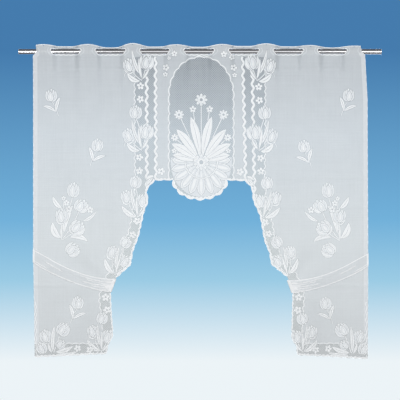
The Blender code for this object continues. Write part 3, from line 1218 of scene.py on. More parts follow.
@dataclass(frozen=True)
class Edging:
    """The white edging of the panel and of its slots."""

    edge: CurtainEdge
    leg_width: float = 0.0046
    lower_width: float = 0.0032
    hem_width: float = 0.0040
    top_width: float = 0.0023
    side_band: float = 0.0140
    picot_pitch: float = 0.0256
    picot_width: float = 0.0030
    side_line: float = 0.0058
    side_line_from: float = -0.800
    slot_width: float = 0.0023
    outward: float = 0.0120
    ripple: float = 0.0011
    under_rod: float = -0.0090
    rib_width: float = 0.0018
    ribs: tuple = (((17, 13), (13, 5), (15, -3), (27, -13)),)
    eyelet: float = 0.0012
    eyelet_drop: float = 0.0046
    eyelet_from: float = 0.0124
    picot_parts: int = 8
    side_ripple: float = 0.0018
    side_line_width: float = 0.0024
    under_reach: float = 0.004
    under_scallop: float = 0.0155
    under_scallop_depth: float = 0.0018
    under_width: float = 0.0034

    def band(self, drawing: Drawing, line: Line, width: float, pitch: float) -> None:
        """Works edging along a mean line that has the panel on its left-hand side."""
        inner = waved(beside(line, -width), pitch, self.ripple, Wave.RIPPLE, 8)
        drawing.area(beside(line, self.outward) + inner[::-1], Ground.DENSE)

    def draw(self, drawing: Drawing) -> None:
        """Works all edging, then the ribs of the bridges, the slots and the eyelets.

        Args:
            drawing: The lace.
        """
        edge = self.edge
        left_lower, left_upper, right_upper, right_lower = edge.legs()
        for line in (left_upper, right_upper, *edge.valance_parts()):
            self.band(drawing, line, self.leg_width, edge.scallop / 2)
        for line in (left_lower, right_lower):
            self.band(drawing, line, self.lower_width, edge.scallop / 2)
        for line in edge.hems():
            self.band(drawing, line, self.hem_width, edge.scallop / 2)
        drawing.strip(edge.heading.top_edge(), 2.0 * self.top_width, Ground.DENSE)
        self.draw_picots(drawing)
        self.draw_heading(drawing)

    def draw_bands(self, drawing: Drawing) -> None:
        """Works the doubled cloth along both sides, which lies under the motifs."""
        for line in (self.edge.left_side(), self.edge.right_side()):
            drawing.strip(line, 2.0 * self.side_band, Ground.HEM)

    def draw_picots(self, drawing: Drawing) -> None:
        """Works the small loops along both sides, and the wavy line inside them lower down.

        Args:
            drawing: The lace.
        """
        for line in (self.edge.left_side(), self.edge.right_side()):
            parts = self.picot_parts
            path = waved(line, self.picot_pitch, 0.0, Wave.RIPPLE, parts)
            for start in range(parts // 2, len(path) - parts, parts):
                drawing.strip(path[start : start + parts // 2], self.picot_width, Ground.DENSE)
            mean = beside(line, -self.side_line)
            inner = waved(mean, self.picot_pitch, self.side_ripple, Wave.RIPPLE, parts)
            low = [point for point in inner if point.y < self.side_line_from]
            drawing.strip(low, self.side_line_width, Ground.DENSE)

    def draw_heading(self, drawing: Drawing) -> None:
        """Works the edging of the slots, the ribs of each bridge and the small eyelets.

        Args:
            drawing: The lace.
        """
        heading = self.edge.heading
        centres = heading.slot_centres()
        for left, right in zip(centres[::2], centres[1::2]):
            start, end = left - self.under_reach, right + self.under_reach
            under = self.edge.straight((start, self.under_rod), (end, self.under_rod))
            line = waved(under, self.under_scallop, self.under_scallop_depth, Wave.SCALLOP)
            drawing.strip(line, self.under_width, Ground.DENSE)
        for bridge in heading.bridges:
            for side in (-1, 1):
                place = Place(bridge.centre, 0.0, mirrored=side < 0)
                for rib in self.ribs:
                    line = smooth_line(tuple(tuple(place.at(*point)) for point in rib), 6)
                    drawing.strip(line, self.rib_width, Ground.FILL)
        for loop in heading.slots(self.slot_width):
            drawing.area(loop, Ground.DENSE)
        for loop in heading.slots():
            drawing.area(loop, Ground.GAP)
        middles = [(left + right) / 2 for left, right in zip(centres[::2], centres[1::2])]
        for x in [bridge.centre for bridge in heading.bridges] + middles + centres:
            spot = Vector((x, heading.top(x) - self.eyelet_drop))
            if spot.y < self.eyelet_from:
                continue
            drawing.area(arc(spot, self.eyelet, self.eyelet, 0.0, 315.0, 7), Ground.GAP)


def new_group(name: str, sockets: tuple, outputs: tuple) -> bpy.types.NodeTree:
    """A shader node group with these float or vector inputs and float outputs.

    Args:
        name: The group's name.
        sockets: Pairs of an input's name and its kind, such as NodeSocketFloat.
        outputs: Names of the outputs.

    Returns:
        The group, with its input and output nodes.
    """
    group = bpy.data.node_groups.new(name, "ShaderNodeTree")
    for socket, kind in sockets:
        group.interface.new_socket(socket, in_out="INPUT", socket_type=kind)
    for socket in outputs:
        group.interface.new_socket(socket, in_out="OUTPUT", socket_type="NodeSocketFloat")
    group.nodes.new("NodeGroupInput")
    group.nodes.new("NodeGroupOutput")
    return group


class Wiring:
    """Short ways to add and join nodes in one node tree."""

    def __init__(self, tree: bpy.types.NodeTree) -> None:
        """Keeps the tree."""
        self.tree = tree

    def node(self, kind: str, **settings: object) -> bpy.types.Node:
        """A new node.

        Args:
            kind: Its type.
            **settings: Its properties and their values.

        Returns:
            The node.
        """
        node = self.tree.nodes.new(kind)
        for key, value in settings.items():
            setattr(node, key, value)
        return node

    def join(self, source: object, target: object) -> None:
        """Links an output to an input, or sets the input to a plain value.

        Args:
            source: An output, or a plain value.
            target: The input.
        """
        if isinstance(source, bpy.types.NodeSocket):
            self.tree.links.new(source, target)
        else:
            target.default_value = source

    def math(self, operation: str, first: object, second: object = 0.0, third: object = 0.0) -> object:
        """A Math node.

        Args:
            operation: What it does.
            first: Its first input, an output or a plain value.
            second: Its second input.
            third: Its third input.

        Returns:
            Its output.
        """
        node = self.node("ShaderNodeMath", operation=operation)
        for value, socket in zip((first, second, third), node.inputs):
            self.join(value, socket)
        return node.outputs[0]

    def mix(self, share: object, low: tuple, high: tuple) -> object:
        """A mix of two colours.

        Args:
            share: How much of the second colour it has.
            low: The first colour.
            high: The second colour.

        Returns:
            The mixed colour's output.
        """
        node = self.node("ShaderNodeMix", data_type="RGBA")
        self.join(share, node.inputs[0])
        self.join((*low, 1.0), node.inputs[6])
        self.join((*high, 1.0), node.inputs[7])
        return node.outputs[2]

    def noise(self, vector: object, scale: float, detail: float = 2.0) -> object:
        """A Noise Texture.

        Args:
            vector: Where it is read.
            scale: How fine it is.
            detail: How many finer layers it has.

        Returns:
            The output of its value.
        """
        node = self.node("ShaderNodeTexNoise")
        self.join(vector, node.inputs["Vector"])
        node.inputs["Scale"].default_value = scale
        node.inputs["Detail"].default_value = detail
        return node.outputs["Fac"]


class ThreadGroups:
    """The node groups that lay threads out over the cloth, built once."""

    sockets: tuple = (
        ("Across", "NodeSocketFloat"), ("Up", "NodeSocketFloat"), ("Pitch", "NodeSocketFloat"),
    )

    def __init__(self) -> None:
        """Builds the plain weave, the diamond net and the slub."""
        self.weave = self.build_weave()
        self.net = self.build_net()
        self.slub = self.build_slub()

    def build_weave(self) -> bpy.types.NodeTree:
        """Upright and level threads: Cover is 1 on a thread and 0 in a pore.

        Returns:
            The node group.
        """
        group = new_group("Plain weave", self.sockets, ("Cover", "Height"))
        wires = Wiring(group)
        source, target = group.nodes[0].outputs, group.nodes[1].inputs
        waves = []
        for socket in (source[0], source[1]):
            turns = wires.math("DIVIDE", socket, source[2])
            angle = wires.math("MULTIPLY", turns, math.pi)
            waves.append(wires.math("ABSOLUTE", wires.math("SINE", angle)))
        wires.join(wires.math("MAXIMUM", *waves), target[0])
        crossing = wires.math("MULTIPLY", *waves)
        wires.join(wires.math("SUBTRACT", 1.0, crossing), target[1])
        return group

    def build_net(self) -> bpy.types.NodeTree:
        """Slanting threads both ways: Cover is 1 on a thread and 0 in a mesh of the net.

        Returns:
            The node group.
        """
        group = new_group("Diamond net", self.sockets, ("Cover", "Height"))
        wires = Wiring(group)
        source, target = group.nodes[0].outputs, group.nodes[1].inputs
        threads = []
        for operation in ("ADD", "SUBTRACT"):
            slant = wires.math("DIVIDE", wires.math(operation, source[0], source[1]), source[2])
            angle = wires.math("MULTIPLY", slant, 2.0 * math.pi)
            threads.append(wires.math("MULTIPLY_ADD", wires.math("COSINE", angle), 0.5, 0.5))
        knot = wires.math("MULTIPLY", *threads)
        sharp = [wires.math("POWER", thread, 3.0) for thread in threads]
        cover = wires.math("MAXIMUM", wires.math("MAXIMUM", *sharp), wires.math("POWER", knot, 0.8))
        wires.join(cover, target[0])
        wires.join(wires.math("ADD", cover, knot), target[1])
        return group

    def build_slub(self) -> bpy.types.NodeTree:
        """Uneven yarn: Value drifts about 0.5, with level and upright streaks.

        Returns:
            The node group.
        """
        group = new_group("Slub", (("Vector", "NodeSocketVector"),), ("Value",))
        wires = Wiring(group)
        source, target = group.nodes[0].outputs, group.nodes[1].inputs
        parts = []
        for stretch in ((1.5, 1.0, 60.0), (70.0, 1.0, 2.0), (5.0, 1.0, 4.0)):
            mapping = wires.node("ShaderNodeMapping")
            wires.join(source[0], mapping.inputs["Vector"])
            mapping.inputs["Scale"].default_value = stretch
            parts.append(wires.noise(mapping.outputs[0], 4.0))
        total = wires.math("ADD", wires.math("ADD", *parts[:2]), parts[2])
        wires.join(wires.math("DIVIDE", total, 3.0), target[0])
        return group


@dataclass(frozen=True)
class Yarn:
    """One finish of the cloth: its colours, how open it is and how its threads lie."""

    name: str
    shade: tuple
    light: tuple
    pore: float
    thread: float
    pitch: float
    relief: float
    roughness: float = 0.85
    sheen: float = 0.15
    net: bool = False
    thread_share: float = 0.35
    unevenness: float = 1.6
    cover_drift: float = 0.12

    def material(self, groups: ThreadGroups) -> bpy.types.Material:
        """The finish as a material.

        Args:
            groups: The thread node groups.

        Returns:
            A material with one Principled BSDF.
        """
        material = bpy.data.materials.new(self.name)
        material.use_nodes = True
        wires = Wiring(material.node_tree)
        shader = material.node_tree.nodes["Principled BSDF"]
        across, up, place = self.coordinates(wires)
        threads = wires.node("ShaderNodeGroup", node_tree=groups.net if self.net else groups.weave)
        wires.join(across, threads.inputs["Across"])
        wires.join(up, threads.inputs["Up"])
        wires.join(self.pitch, threads.inputs["Pitch"])
        slub = wires.node("ShaderNodeGroup", node_tree=groups.slub)
        wires.join(place, slub.inputs["Vector"])
        gain = self.unevenness
        uneven = wires.math("MULTIPLY_ADD", slub.outputs[0], gain, (1.0 - gain) / 2.0)
        drifted = wires.math("MULTIPLY", uneven, 1.0 - self.thread_share)
        share = wires.math("MULTIPLY_ADD", threads.outputs["Cover"], self.thread_share, drifted)
        wires.join(wires.mix(share, self.shade, self.light), shader.inputs["Base Color"])
        cover = wires.math("MULTIPLY_ADD", threads.outputs["Cover"], self.thread - self.pore, self.pore)
        drift = wires.math("MULTIPLY_ADD", uneven, self.cover_drift, -self.cover_drift / 2.0)
        alpha = wires.math("MINIMUM", wires.math("ADD", cover, drift), 1.0)
        wires.join(alpha, shader.inputs["Alpha"])
        bump = wires.node("ShaderNodeBump")
        bump.inputs["Strength"].default_value = 1.0
        bump.inputs["Distance"].default_value = self.relief
        wires.join(threads.outputs["Height"], bump.inputs["Height"])
        wires.join(bump.outputs["Normal"], shader.inputs["Normal"])
        shader.inputs["Roughness"].default_value = self.roughness
        shader.inputs["Sheen Weight"].default_value = self.sheen
        shader.inputs["Sheen Roughness"].default_value = 0.5
        shader.inputs["Specular IOR Level"].default_value = 0.25
        return material

    def coordinates(self, wires: Wiring) -> tuple:
        """Where the thread pattern reads its place on the hanging cloth.

        Args:
            wires: The material's nodes.

        Returns:
            The outputs of the place across, the place up and the whole place.
        """
        source = wires.node("ShaderNodeTexCoord")
        split = wires.node("ShaderNodeSeparateXYZ")
        wires.join(source.outputs["Object"], split.inputs[0])
        return split.outputs["X"], split.outputs["Z"], source.outputs["Object"]


PANEL_YARNS = (
    Yarn("lace_voile", (0.66, 0.70, 0.73), (0.73, 0.77, 0.80), 0.62, 0.82, 0.0013, 0.00010),
    # The net's colours are darker than the voile's: painted shade for the self-shadowing of its white
    # threads. Its thread pattern and lower alpha are its own.
    Yarn("lace_net", (0.52, 0.56, 0.59), (0.67, 0.71, 0.74), 0.38, 0.74, 0.0072, 0.00035, net=True),
    # The open rows round the motifs are darker than the voile too: painted shade, as on the net. Their
    # lower alpha is their real openness.
    Yarn("lace_open", (0.58, 0.62, 0.66), (0.68, 0.72, 0.76), 0.46, 0.66, 0.0017, 0.00020, net=True),
    Yarn("lace_hem", (0.72, 0.75, 0.78), (0.79, 0.82, 0.85), 0.78, 0.91, 0.0013, 0.00012),
    Yarn("lace_motif_fill", (0.75, 0.79, 0.83), (0.82, 0.86, 0.89), 0.78, 0.91, 0.0018, 0.00020),
    Yarn("lace_motif_white", (0.90, 0.93, 0.95), (0.95, 0.97, 0.98), 0.91, 0.99, 0.0015, 0.00022),
)

TIE_YARNS = (
    Yarn("tie_voile", (0.75, 0.79, 0.82), (0.82, 0.86, 0.88), 0.72, 0.86, 0.0013, 0.00012),
    Yarn("tie_pleat", (0.90, 0.92, 0.93), (0.95, 0.96, 0.97), 0.90, 0.98, 0.0014, 0.00018),
)


@dataclass(frozen=True)
class BrushedMetal:
    """Satin metal, brushed along the rod."""

    name: str = "rod_metal"
    dark: tuple = (0.60, 0.60, 0.61)
    light: tuple = (0.78, 0.78, 0.79)
    smooth: float = 0.12
    rough: float = 0.24

    def material(self) -> bpy.types.Material:
        """The finish as a material, with fine streaks along X.

        Returns:
            A material with one Principled BSDF.
        """
        material = bpy.data.materials.new(self.name)
        material.use_nodes = True
        wires = Wiring(material.node_tree)
        shader = material.node_tree.nodes["Principled BSDF"]
        source = wires.node("ShaderNodeTexCoord")
        mapping = wires.node("ShaderNodeMapping")
        wires.join(source.outputs["Object"], mapping.inputs["Vector"])
        mapping.inputs["Scale"].default_value = (6.0, 900.0, 900.0)
        streaks = wires.noise(mapping.outputs[0], 1.0, 3.0)
        wear = wires.noise(source.outputs["Object"], 18.0, 4.0)
        wires.join(wires.mix(streaks, self.dark, self.light), shader.inputs["Base Color"])
        unevenness = wires.math("ADD", streaks, wear)
        half_range = 0.5 * (self.rough - self.smooth)
        spread = wires.math("MULTIPLY_ADD", unevenness, half_range, self.smooth)
        wires.join(spread, shader.inputs["Roughness"])
        bump = wires.node("ShaderNodeBump")
        bump.inputs["Strength"].default_value = 0.6
        bump.inputs["Distance"].default_value = 0.00004
        wires.join(streaks, bump.inputs["Height"])
        wires.join(bump.outputs["Normal"], shader.inputs["Normal"])
        shader.inputs["Metallic"].default_value = 1.0
        return material


@dataclass(frozen=True)
class PaleFloor:
    """The floor's matt finish, which glows so that it is pale and even from every side."""

    name: str = "pale_floor"
    dark: tuple = (0.16, 0.165, 0.17)
    light: tuple = (0.19, 0.195, 0.20)
    glow: tuple = (0.80, 0.82, 0.84)
    glow_strength: float = 0.70
    roughness: float = 0.9

    def material(self) -> bpy.types.Material:
        """The finish as a material, a little mottled.

        Returns:
            A material with one Principled BSDF.
        """
        material = bpy.data.materials.new(self.name)
        material.use_nodes = True
        wires = Wiring(material.node_tree)
        shader = material.node_tree.nodes["Principled BSDF"]
        source = wires.node("ShaderNodeTexCoord")
        grain = wires.noise(source.outputs["Object"], 3.0, 4.0)
        wires.join(wires.mix(grain, self.dark, self.light), shader.inputs["Base Color"])
        shader.inputs["Roughness"].default_value = self.roughness
        shader.inputs["Emission Color"].default_value = (*self.glow, 1.0)
        shader.inputs["Emission Strength"].default_value = self.glow_strength
        return material


def finish_mesh(name: str, shape: bmesh.types.BMesh, yarns: list[bpy.types.Material]) -> bpy.types.Object:
    """An object with this mesh, shaded smooth, with its materials in order.

    Args:
        name: The piece's name.
        shape: Its mesh, which is freed.
        yarns: Its materials.

    Returns:
        The object, linked to the scene.
    """
    mesh = bpy.data.meshes.new(name)
    shape.to_mesh(mesh)
    shape.free()
    for face in mesh.polygons:
        face.use_smooth = True
    for yarn in yarns:
        mesh.materials.append(yarn)
    piece = bpy.data.objects.new(name, mesh)
    bpy.context.scene.collection.objects.link(piece)
    return piece


def lay_flat(piece: bpy.types.Object, where: Callable[[int], tuple]) -> None:
    """Gives the piece the UV map of its flat cloth.

    Args:
        piece: The sheet.
        where: Gives a vertex's place on the flat cloth, both parts from 0 to 1.
    """
    layer = piece.data.uv_layers.new(name="OFBake")
    for loop in piece.data.loops:
        layer.data[loop.index].uv = where(loop.vertex_index)


@dataclass
class LacePanel:
    """The curtain's one sheet of lace."""

    edge: CurtainEdge
    folds: Folds
    step: float = 0.0075
    fine_step: float = 0.0040
    fine_until: float = -0.045
    jitter: float = 0.22
    crease_rows: tuple = (-0.004, 0.0, 0.004)
    flat_size: tuple = (1.10, 1.02)
    lifts: tuple = (0.0, -0.0001, -0.00015, 0.0001, 0.0003, 0.00045)
    seed: int = 7
    first_row: float = 0.026
    row_pitch: float = 0.87
    flat_top: float = 0.97

    def draw(self) -> Drawing:
        """Draws the whole lace.

        Returns:
            The drawing, with all its shapes in working order.
        """
        drawing = Drawing()
        drawing.area(self.edge.outline(), Ground.VOILE)
        medallion = Medallion()
        borders = Borders(self.edge)
        edging = Edging(self.edge)
        edging.draw_bands(drawing)
        borders.draw_ground(drawing)
        medallion.draw_ground(drawing)
        borders.draw(drawing)
        medallion.draw(drawing)
        LEFT_MOTIFS.draw(drawing)
        RIGHT_MOTIFS.draw(drawing)
        edging.draw(drawing)
        return drawing

    def inner_points(self) -> Line:
        """Points over the cloth that carry its folds.

        Returns:
            The points, closer together at the heading and along the creases.
        """
        chance = random.Random(self.seed)
        points = []
        z = self.first_row
        while z > self.edge.hem_right:
            step = self.fine_step if z > self.fine_until else self.step
            x = self.edge.side_left
            while x < self.edge.side_right:
                shift = Vector((chance.uniform(-1, 1), chance.uniform(-1, 1))) * self.jitter * step
                points.append(Vector((x, z)) + shift)
                x += step
            z -= step * self.row_pitch
        count = round((self.edge.side_right - self.edge.side_left) / self.step)
        places = [self.edge.side_left + self.step * (index + 0.5) for index in range(count)]
        for crease in self.folds.packing_creases:
            for row in self.crease_rows:
                points += [Vector((x, crease + row)) for x in places]
        return points

    def build(self, groups: ThreadGroups) -> bpy.types.Object:
        """Works the shapes into one sheet and lays it on its folds.

        Args:
            groups: The thread node groups.

        Returns:
            The finished panel.
        """
        drawing = self.draw()
        points, faces = [], []
        for line, _ in drawing.shapes:
            faces.append(list(range(len(points), len(points) + len(line))))
            points += line
        points += self.inner_points()
        cut = delaunay_2d_cdt(points, [], faces, 1, 1e-5)
        lifts = [0.0] * len(cut[0])
        counts = [0] * len(cut[0])
        kept = []
        for triangle, owners in zip(cut[2], cut[5]):
            if 0 not in owners:
                continue
            ground = drawing.shapes[max(owners)][1]
            if ground is Ground.GAP:
                continue
            kept.append((triangle, ground))
            for index in triangle:
                lifts[index] += self.lifts[ground]
                counts[index] += 1
        shape = bmesh.new()
        corners = {}
        for index, count in enumerate(counts):
            if count:
                x, z = cut[0][index]
                depth = self.folds.depth(x, z) + self.folds.small(x, z) - lifts[index] / count
                corners[index] = shape.verts.new((x, depth, z))
        for triangle, ground in kept:
            face = shape.faces.new([corners[index] for index in triangle])
            face.material_index = int(ground)
        materials = [yarn.material(groups) for yarn in PANEL_YARNS]
        panel = finish_mesh("lace_panel", shape, materials)
        span = self.flat_size[0]
        places = [vertex.co for vertex in panel.data.vertices]
        top = self.flat_top
        lay_flat(panel, lambda index: (0.5 + places[index].x / span, top + places[index].z / span))
        log.info("lace_panel: %d shapes, %d triangles", len(drawing.shapes), len(kept))
        return panel

    def flat_area(self) -> float:
        """Area of the cut cloth, without its slots."""
        line = self.edge.outline()
        return abs(sum(a.x * b.y - b.x * a.y for a, b in zip(line, line[1:] + line[:1]))) / 2.0

    def dress(self, panel: bpy.types.Object) -> None:
        """Hangs the panel on the frame in its solid's place.

        Args:
            panel: The finished panel.
        """
        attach(panel, "root")
        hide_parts("curtain_panel")
        self.flat_area()


@dataclass(frozen=True)
class Pleat:
    """One pleat of a tie: it runs from one share of the run and width to another."""

    start: tuple
    end: tuple
    size: float = 1.0
    fade_in: float = 0.25
    fade_out: float = 0.3

    def rise(self, run: float, across: float, reach: float) -> float:
        """How far the pleat stands up here, from 0 to its size.

        Args:
            run: Share of the way from the cloth's side to its inner edge.
            across: -0.5 at the lower edge to 0.5 at the upper edge.
            reach: Half of the pleat's width, as a share of the band's.

        Returns:
            The rise, which fades in at the pleat's start.
        """
        share = (run - self.start[0]) / (self.end[0] - self.start[0])
        if not 0.0 < share < 1.001:
            return 0.0
        middle = self.start[1] + (self.end[1] - self.start[1]) * share
        fade = ease(share / self.fade_in)
        if self.end[0] < 1.0:
            fade *= ease((1.0 - share) / self.fade_out)
        return self.size * fade * math.exp(-(((across - middle) / reach) ** 2))


@dataclass
class TieBand:
    """A pleated voile band that passes round one leg of the curtain."""

    run: TieRun
    folds: Folds
    standoff: float = 0.0026
    pleat: float = 0.0011
    pleat_reach: float = 0.048
    pleats: tuple = (
        Pleat((0.10, 0.10), (0.42, 0.02)), Pleat((-0.05, -0.30), (0.26, -0.32), 0.8),
        Pleat((0.50, 0.30), (1.0, 0.19)), Pleat((0.58, 0.12), (1.0, 0.07), 0.8),
        Pleat((0.55, -0.14), (1.0, -0.06)), Pleat((0.68, -0.30), (1.0, -0.18), 0.9),
        Pleat((0.36, 0.26), (0.70, 0.10), 0.6), Pleat((0.78, 0.36), (1.0, 0.32), 0.7),
        Pleat((0.80, -0.40), (1.0, -0.32), 0.8), Pleat((0.84, 0.00), (1.0, 0.00)),
        Pleat((0.86, 0.24), (1.0, 0.26)), Pleat((0.86, -0.24), (1.0, -0.25)),
        Pleat((0.88, -0.12), (1.0, -0.12)),
    )
    bright_from: float = 0.62
    gathered_from: float = 0.965
    end_slant: float = 0.37
    slant_from: float = 0.7
    upright_until: float = 0.2
    across_steps: int = 36
    front_steps: int = 90
    turn_steps: int = 10
    back_steps: int = 60
    hem_width: float = 0.0030
    end_hem: float = 0.0040
    flat_width: float = 0.046
    waist: float = 0.12
    flat_margin: float = 0.1

    def rows(self) -> list[tuple[float, float, float]]:
        """Steps along the band, out along its front and home along its back.

        Returns:
            Each step's share of the run, its side and how far past the inner edge it is.
        """
        rows = [(step / self.front_steps, -1.0, 0.0) for step in range(self.front_steps + 1)]
        for step in range(1, self.turn_steps):
            turn = math.pi * (step / self.turn_steps - 0.5)
            rows.append((1.0, math.sin(turn), math.cos(turn)))
        return rows + [(1.0 - step / self.back_steps, 1.0, 0.0) for step in range(self.back_steps + 1)]

    def pleat_rise(self, run: float, across: float) -> float:
        """How far the highest pleat stands up here, from 0 to 1."""
        return max(pleat.rise(run, across, self.pleat_reach) for pleat in self.pleats)

    def point(self, run: float, side: float, past: float, across: float) -> Vector:
        """One point of the band.

        Args:
            run: Share of the way from the cloth's side to its inner edge.
            side: -1 on the front, 1 on the back.
            past: Share of the standoff that reaches past the inner edge.
            across: -0.5 at the lower edge to 0.5 at the upper edge.

        Returns:
            The point, in the row frame.
        """
        tie = self.run
        x = tie.outer + (tie.inner - tie.outer) * run
        z = tie.start - tie.drop * (1.0 - (1.0 - run) ** tie.bend)
        slope = tie.drop * tie.bend * (1.0 - run) ** (tie.bend - 1.0) / abs(tie.outer - tie.inner)
        inward = 1.0 if tie.inner > tie.outer else -1.0
        slant = self.end_slant * ease((run - self.slant_from) / (1.0 - self.slant_from))
        upright = ease(run / self.upright_until)
        up = Vector((inward * (slope * upright + slant), 1.0)) / Vector((slope * upright, 1.0)).length
        place = Vector((x, z)) + up * across * tie.width * (1.0 - self.waist * math.sin(math.pi * run))
        pleat = self.pleat * self.pleat_rise(run, across) * abs(side)
        depth = self.folds.depth(place.x, place.y) + side * self.standoff + math.copysign(1.0, side) * pleat
        return Vector((place.x + inward * past * self.standoff, depth, place.y))

    def is_dense(self, run: float, across: float) -> bool:
        """Whether the voile lies in several layers here: in a hem, a pleat or the gathered end.

        Args:
            run: Share of the way from the cloth's side to its inner edge.
            across: -0.5 at the lower edge to 0.5 at the upper edge.

        Returns:
            True in a hem, on a pleat and at the gathered end.
        """
        tie = self.run
        at_edge = (0.5 - abs(across)) * tie.width < self.hem_width
        at_end = run * abs(tie.inner - tie.outer) < self.end_hem or run > self.gathered_from
        return at_edge or at_end or self.pleat_rise(run, across) > self.bright_from

    def build(self, groups: ThreadGroups) -> bpy.types.Object:
        """The band's sheet, hemmed along both edges and at its outer ends.

        Args:
            groups: The thread node groups.

        Returns:
            The finished band.
        """
        rows = self.rows()
        shares = [step / self.across_steps - 0.5 for step in range(self.across_steps + 1)]
        shape = bmesh.new()
        grid = [[shape.verts.new(self.point(*row, share)) for share in shares] for row in rows]
        for row, after, (run, _, _) in zip(grid, grid[1:], rows):
            for index in range(self.across_steps):
                face = shape.faces.new((row[index], after[index], after[index + 1], row[index + 1]))
                across = (index + 0.5) / self.across_steps - 0.5
                face.material_index = int(self.is_dense(run, across))
        if self.run.inner < self.run.outer:
            bmesh.ops.reverse_faces(shape, faces=shape.faces)
        band = finish_mesh(self.run.piece, shape, [yarn.material(groups) for yarn in TIE_YARNS])
        wide, long = len(shares), len(rows) - 1
        flat = self.run.width / (2.0 * abs(self.run.inner - self.run.outer))
        margin, steps = self.flat_margin, self.across_steps
        lay_flat(band, lambda index: ((index // wide) / long, margin + flat * (index % wide) / steps))
        log.info("%s: %d faces", self.run.piece, len(band.data.polygons))
        return band

    def dress(self, band: bpy.types.Object, panel: bpy.types.Object) -> None:
        """Sets the band round the panel in its solid's place.

        Args:
            band: The finished band.
            panel: The panel that it rests on; not used.
        """
        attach(band, "root")
        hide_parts(self.run.node)


@dataclass(frozen=True)
class Rod:
    """The plain metal rod, whose solid is shown as it is."""

    node: str = "rod"

    def dress(self) -> None:
        """Gives the rod's node its brushed finish."""
        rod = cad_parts[self.node]
        metal = BrushedMetal().material()
        if rod.material_slots:
            for slot in rod.material_slots:
                slot.material = metal
        else:
            rod.data.materials.append(metal)
        log.info("rod: brushed metal")


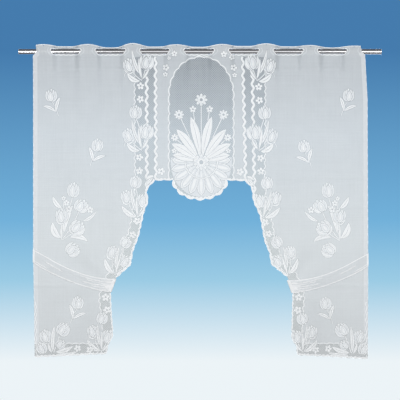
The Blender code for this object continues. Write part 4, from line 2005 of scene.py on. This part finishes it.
@dataclass(frozen=True)
class Studio:
    """Camera, plain backdrop, soft light and the pale floor."""

    distance: float = 9.0
    view_width: float = 1.28
    eye: tuple = (0.0, -0.4748)
    floor_level: float = -1.52
    floor_radius: float = 4.0
    floor_corners: int = 96
    even_strength: float = 0.33
    backdrop_spread: float = 7.0
    backdrop_tones: tuple = (
        (0.10, (0.84, 0.90, 0.93)), (0.30, (0.33, 0.60, 0.78)), (0.45, (0.17, 0.44, 0.70)),
        (0.87, (0.06, 0.20, 0.42)),
    )
    behind_tones: tuple = (
        (0.10, (0.52, 0.53, 0.52)), (0.40, (0.70, 0.76, 0.76)), (0.66, (0.50, 0.60, 0.68)),
        (0.86, (0.06, 0.09, 0.13)),
    )
    metal_tones: tuple = (
        (0.22, (0.17, 0.17, 0.18)), (0.40, (1.05, 1.07, 1.10)), (0.68, (1.10, 1.10, 1.10)),
        (0.83, (0.06, 0.06, 0.07)),
    )
    metal_spread: float = 0.5
    lights: tuple = (
        ("Key", (-0.95, -1.85, -0.36), 0.9, 18.2),
        ("Fill", (1.05, -1.85, -0.28), 1.0, 17.0),
        ("Back", (0.6, 2.4, -0.4), 2.0, 38.0),
    )
    aim: tuple = (0.0, 0.0, -0.42)

    def build(self) -> None:
        """Sets up everything that isn't part of the curtain."""
        self.place_camera()
        self.light_world()
        for light in self.lights:
            self.add_light(*light)
        self.lay_floor()
        bpy.context.scene.view_settings.view_transform = "Standard"

    def place_camera(self) -> None:
        """Faces the curtain squarely, at the photograph's framing."""
        data = bpy.data.cameras.new("Camera")
        data.sensor_width = 36.0
        data.lens = data.sensor_width * self.distance / self.view_width
        camera = bpy.data.objects.new("Camera", data)
        camera.location = (self.eye[0], -self.distance, self.eye[1])
        camera.rotation_euler = (math.pi / 2.0, 0.0, 0.0)
        bpy.context.scene.collection.objects.link(camera)
        bpy.context.scene.camera = camera

    def light_world(self) -> None:
        """A plain backdrop, its tone behind the lace, dark-edged light for metal and even light."""
        world = bpy.data.worlds.new("Studio")
        world.use_nodes = True
        bpy.context.scene.world = world
        wires = Wiring(world.node_tree)
        source = wires.node("ShaderNodeTexCoord")
        split = wires.node("ShaderNodeSeparateXYZ")
        wires.join(source.outputs["Generated"], split.inputs[0])
        height = split.outputs["Z"]
        paths = wires.node("ShaderNodeLightPath").outputs
        soft = self.even_light(wires, world.node_tree.nodes["Background"])
        metal = self.glow(wires, height, self.metal_spread, self.metal_tones)
        direct = self.glow(wires, height, self.backdrop_spread, self.backdrop_tones)
        behind = self.glow(wires, height, self.backdrop_spread, self.behind_tones)
        through = wires.math("GREATER_THAN", paths["Transparent Depth"], 0.5)
        seen = self.choose(wires, through, direct, behind)
        lit = self.choose(wires, paths["Is Glossy Ray"], soft, metal)
        blend = self.choose(wires, paths["Is Camera Ray"], lit, seen)
        wires.join(blend, world.node_tree.nodes["World Output"].inputs["Surface"])

    def even_light(self, wires: Wiring, background: bpy.types.Node) -> object:
        """The even light that every matt surface gets.

        Args:
            wires: The world's nodes; not used.
            background: The world's first Background node.

        Returns:
            The background's output.
        """
        background.inputs["Color"].default_value = (0.97, 0.98, 1.0, 1.0)
        background.inputs["Strength"].default_value = self.even_strength
        return background.outputs[0]

    def glow(self, wires: Wiring, height: object, spread: float, tones: tuple) -> object:
        """A background whose colour follows the height of the ray.

        Args:
            wires: The world's nodes.
            height: The ray's height, from -1 to 1.
            spread: How many ramps fit in one unit of height.
            tones: Pairs of a place on the ramp and its colour, from low to high.

        Returns:
            The background's output.
        """
        ramp = wires.node("ShaderNodeValToRGB")
        for index, (share, colour) in enumerate(tones):
            stop = ramp.color_ramp.elements[index] if index < 2 else ramp.color_ramp.elements.new(share)
            stop.position = share
            stop.color = (*colour, 1.0)
        wires.join(wires.math("MULTIPLY_ADD", height, spread, 0.5), ramp.inputs["Fac"])
        background = wires.node("ShaderNodeBackground")
        wires.join(ramp.outputs["Color"], background.inputs["Color"])
        return background.outputs[0]

    def choose(self, wires: Wiring, share: object, first: object, second: object) -> object:
        """A mix of two backgrounds.

        Args:
            wires: The world's nodes.
            share: How much of the second it has.
            first: The first background.
            second: The second background.

        Returns:
            The mixed output.
        """
        blend = wires.node("ShaderNodeMixShader")
        for value, socket in zip((share, first, second), blend.inputs):
            wires.join(value, socket)
        return blend.outputs[0]

    def add_light(self, name: str, place: tuple, size: float, power: float) -> None:
        """A soft square light that looks at the middle of the curtain.

        Args:
            name: The light's name.
            place: Where it stands.
            size: Its width.
            power: Its power in watts.
        """
        data = bpy.data.lights.new(name, "AREA")
        data.size = size
        data.energy = power
        light = bpy.data.objects.new(name, data)
        light.location = place
        look = Vector(self.aim) - light.location
        light.rotation_euler = look.to_track_quat("-Z", "Y").to_euler()
        bpy.context.scene.collection.objects.link(light)

    def lay_floor(self) -> None:
        """A plain pale floor, well below the hem."""
        bpy.ops.object.select_all(action="DESELECT")
        bpy.ops.mesh.primitive_circle_add(
            vertices=self.floor_corners, radius=self.floor_radius, fill_type="NGON",
            location=(0.0, 0.0, self.floor_level),
        )
        floor = bpy.context.object
        floor.name = "floor"
        floor.data.materials.append(PaleFloor().material())
        floor.visible_glossy = False
        floor.visible_diffuse = False


HEADING = Heading()
TIES = (
    TieRun("left_tie_band", "tie_left", -0.535, -0.2775, -0.653, 0.095, 1.72, 0.042),
    TieRun("right_tie_band", "tie_right", 0.539, 0.2875, -0.665, 0.087, 1.80, 0.041),
)
FOLDS = Folds(HEADING, TIES)


def main() -> None:
    """Builds the studio, the lace panel, its two ties and the rod's finish."""
    logging.basicConfig(level=logging.INFO, format="%(name)s: %(message)s")
    Studio().build()
    groups = ThreadGroups()
    lace = LacePanel(CurtainEdge(HEADING), FOLDS)
    panel = lace.build(groups)
    lace.dress(panel)
    for run in TIES:
        tie = TieBand(run, FOLDS)
        tie.dress(tie.build(groups), panel)
    Rod().dress()
    bpy.context.view_layer.update()


if __name__ == "__main__":
    main()
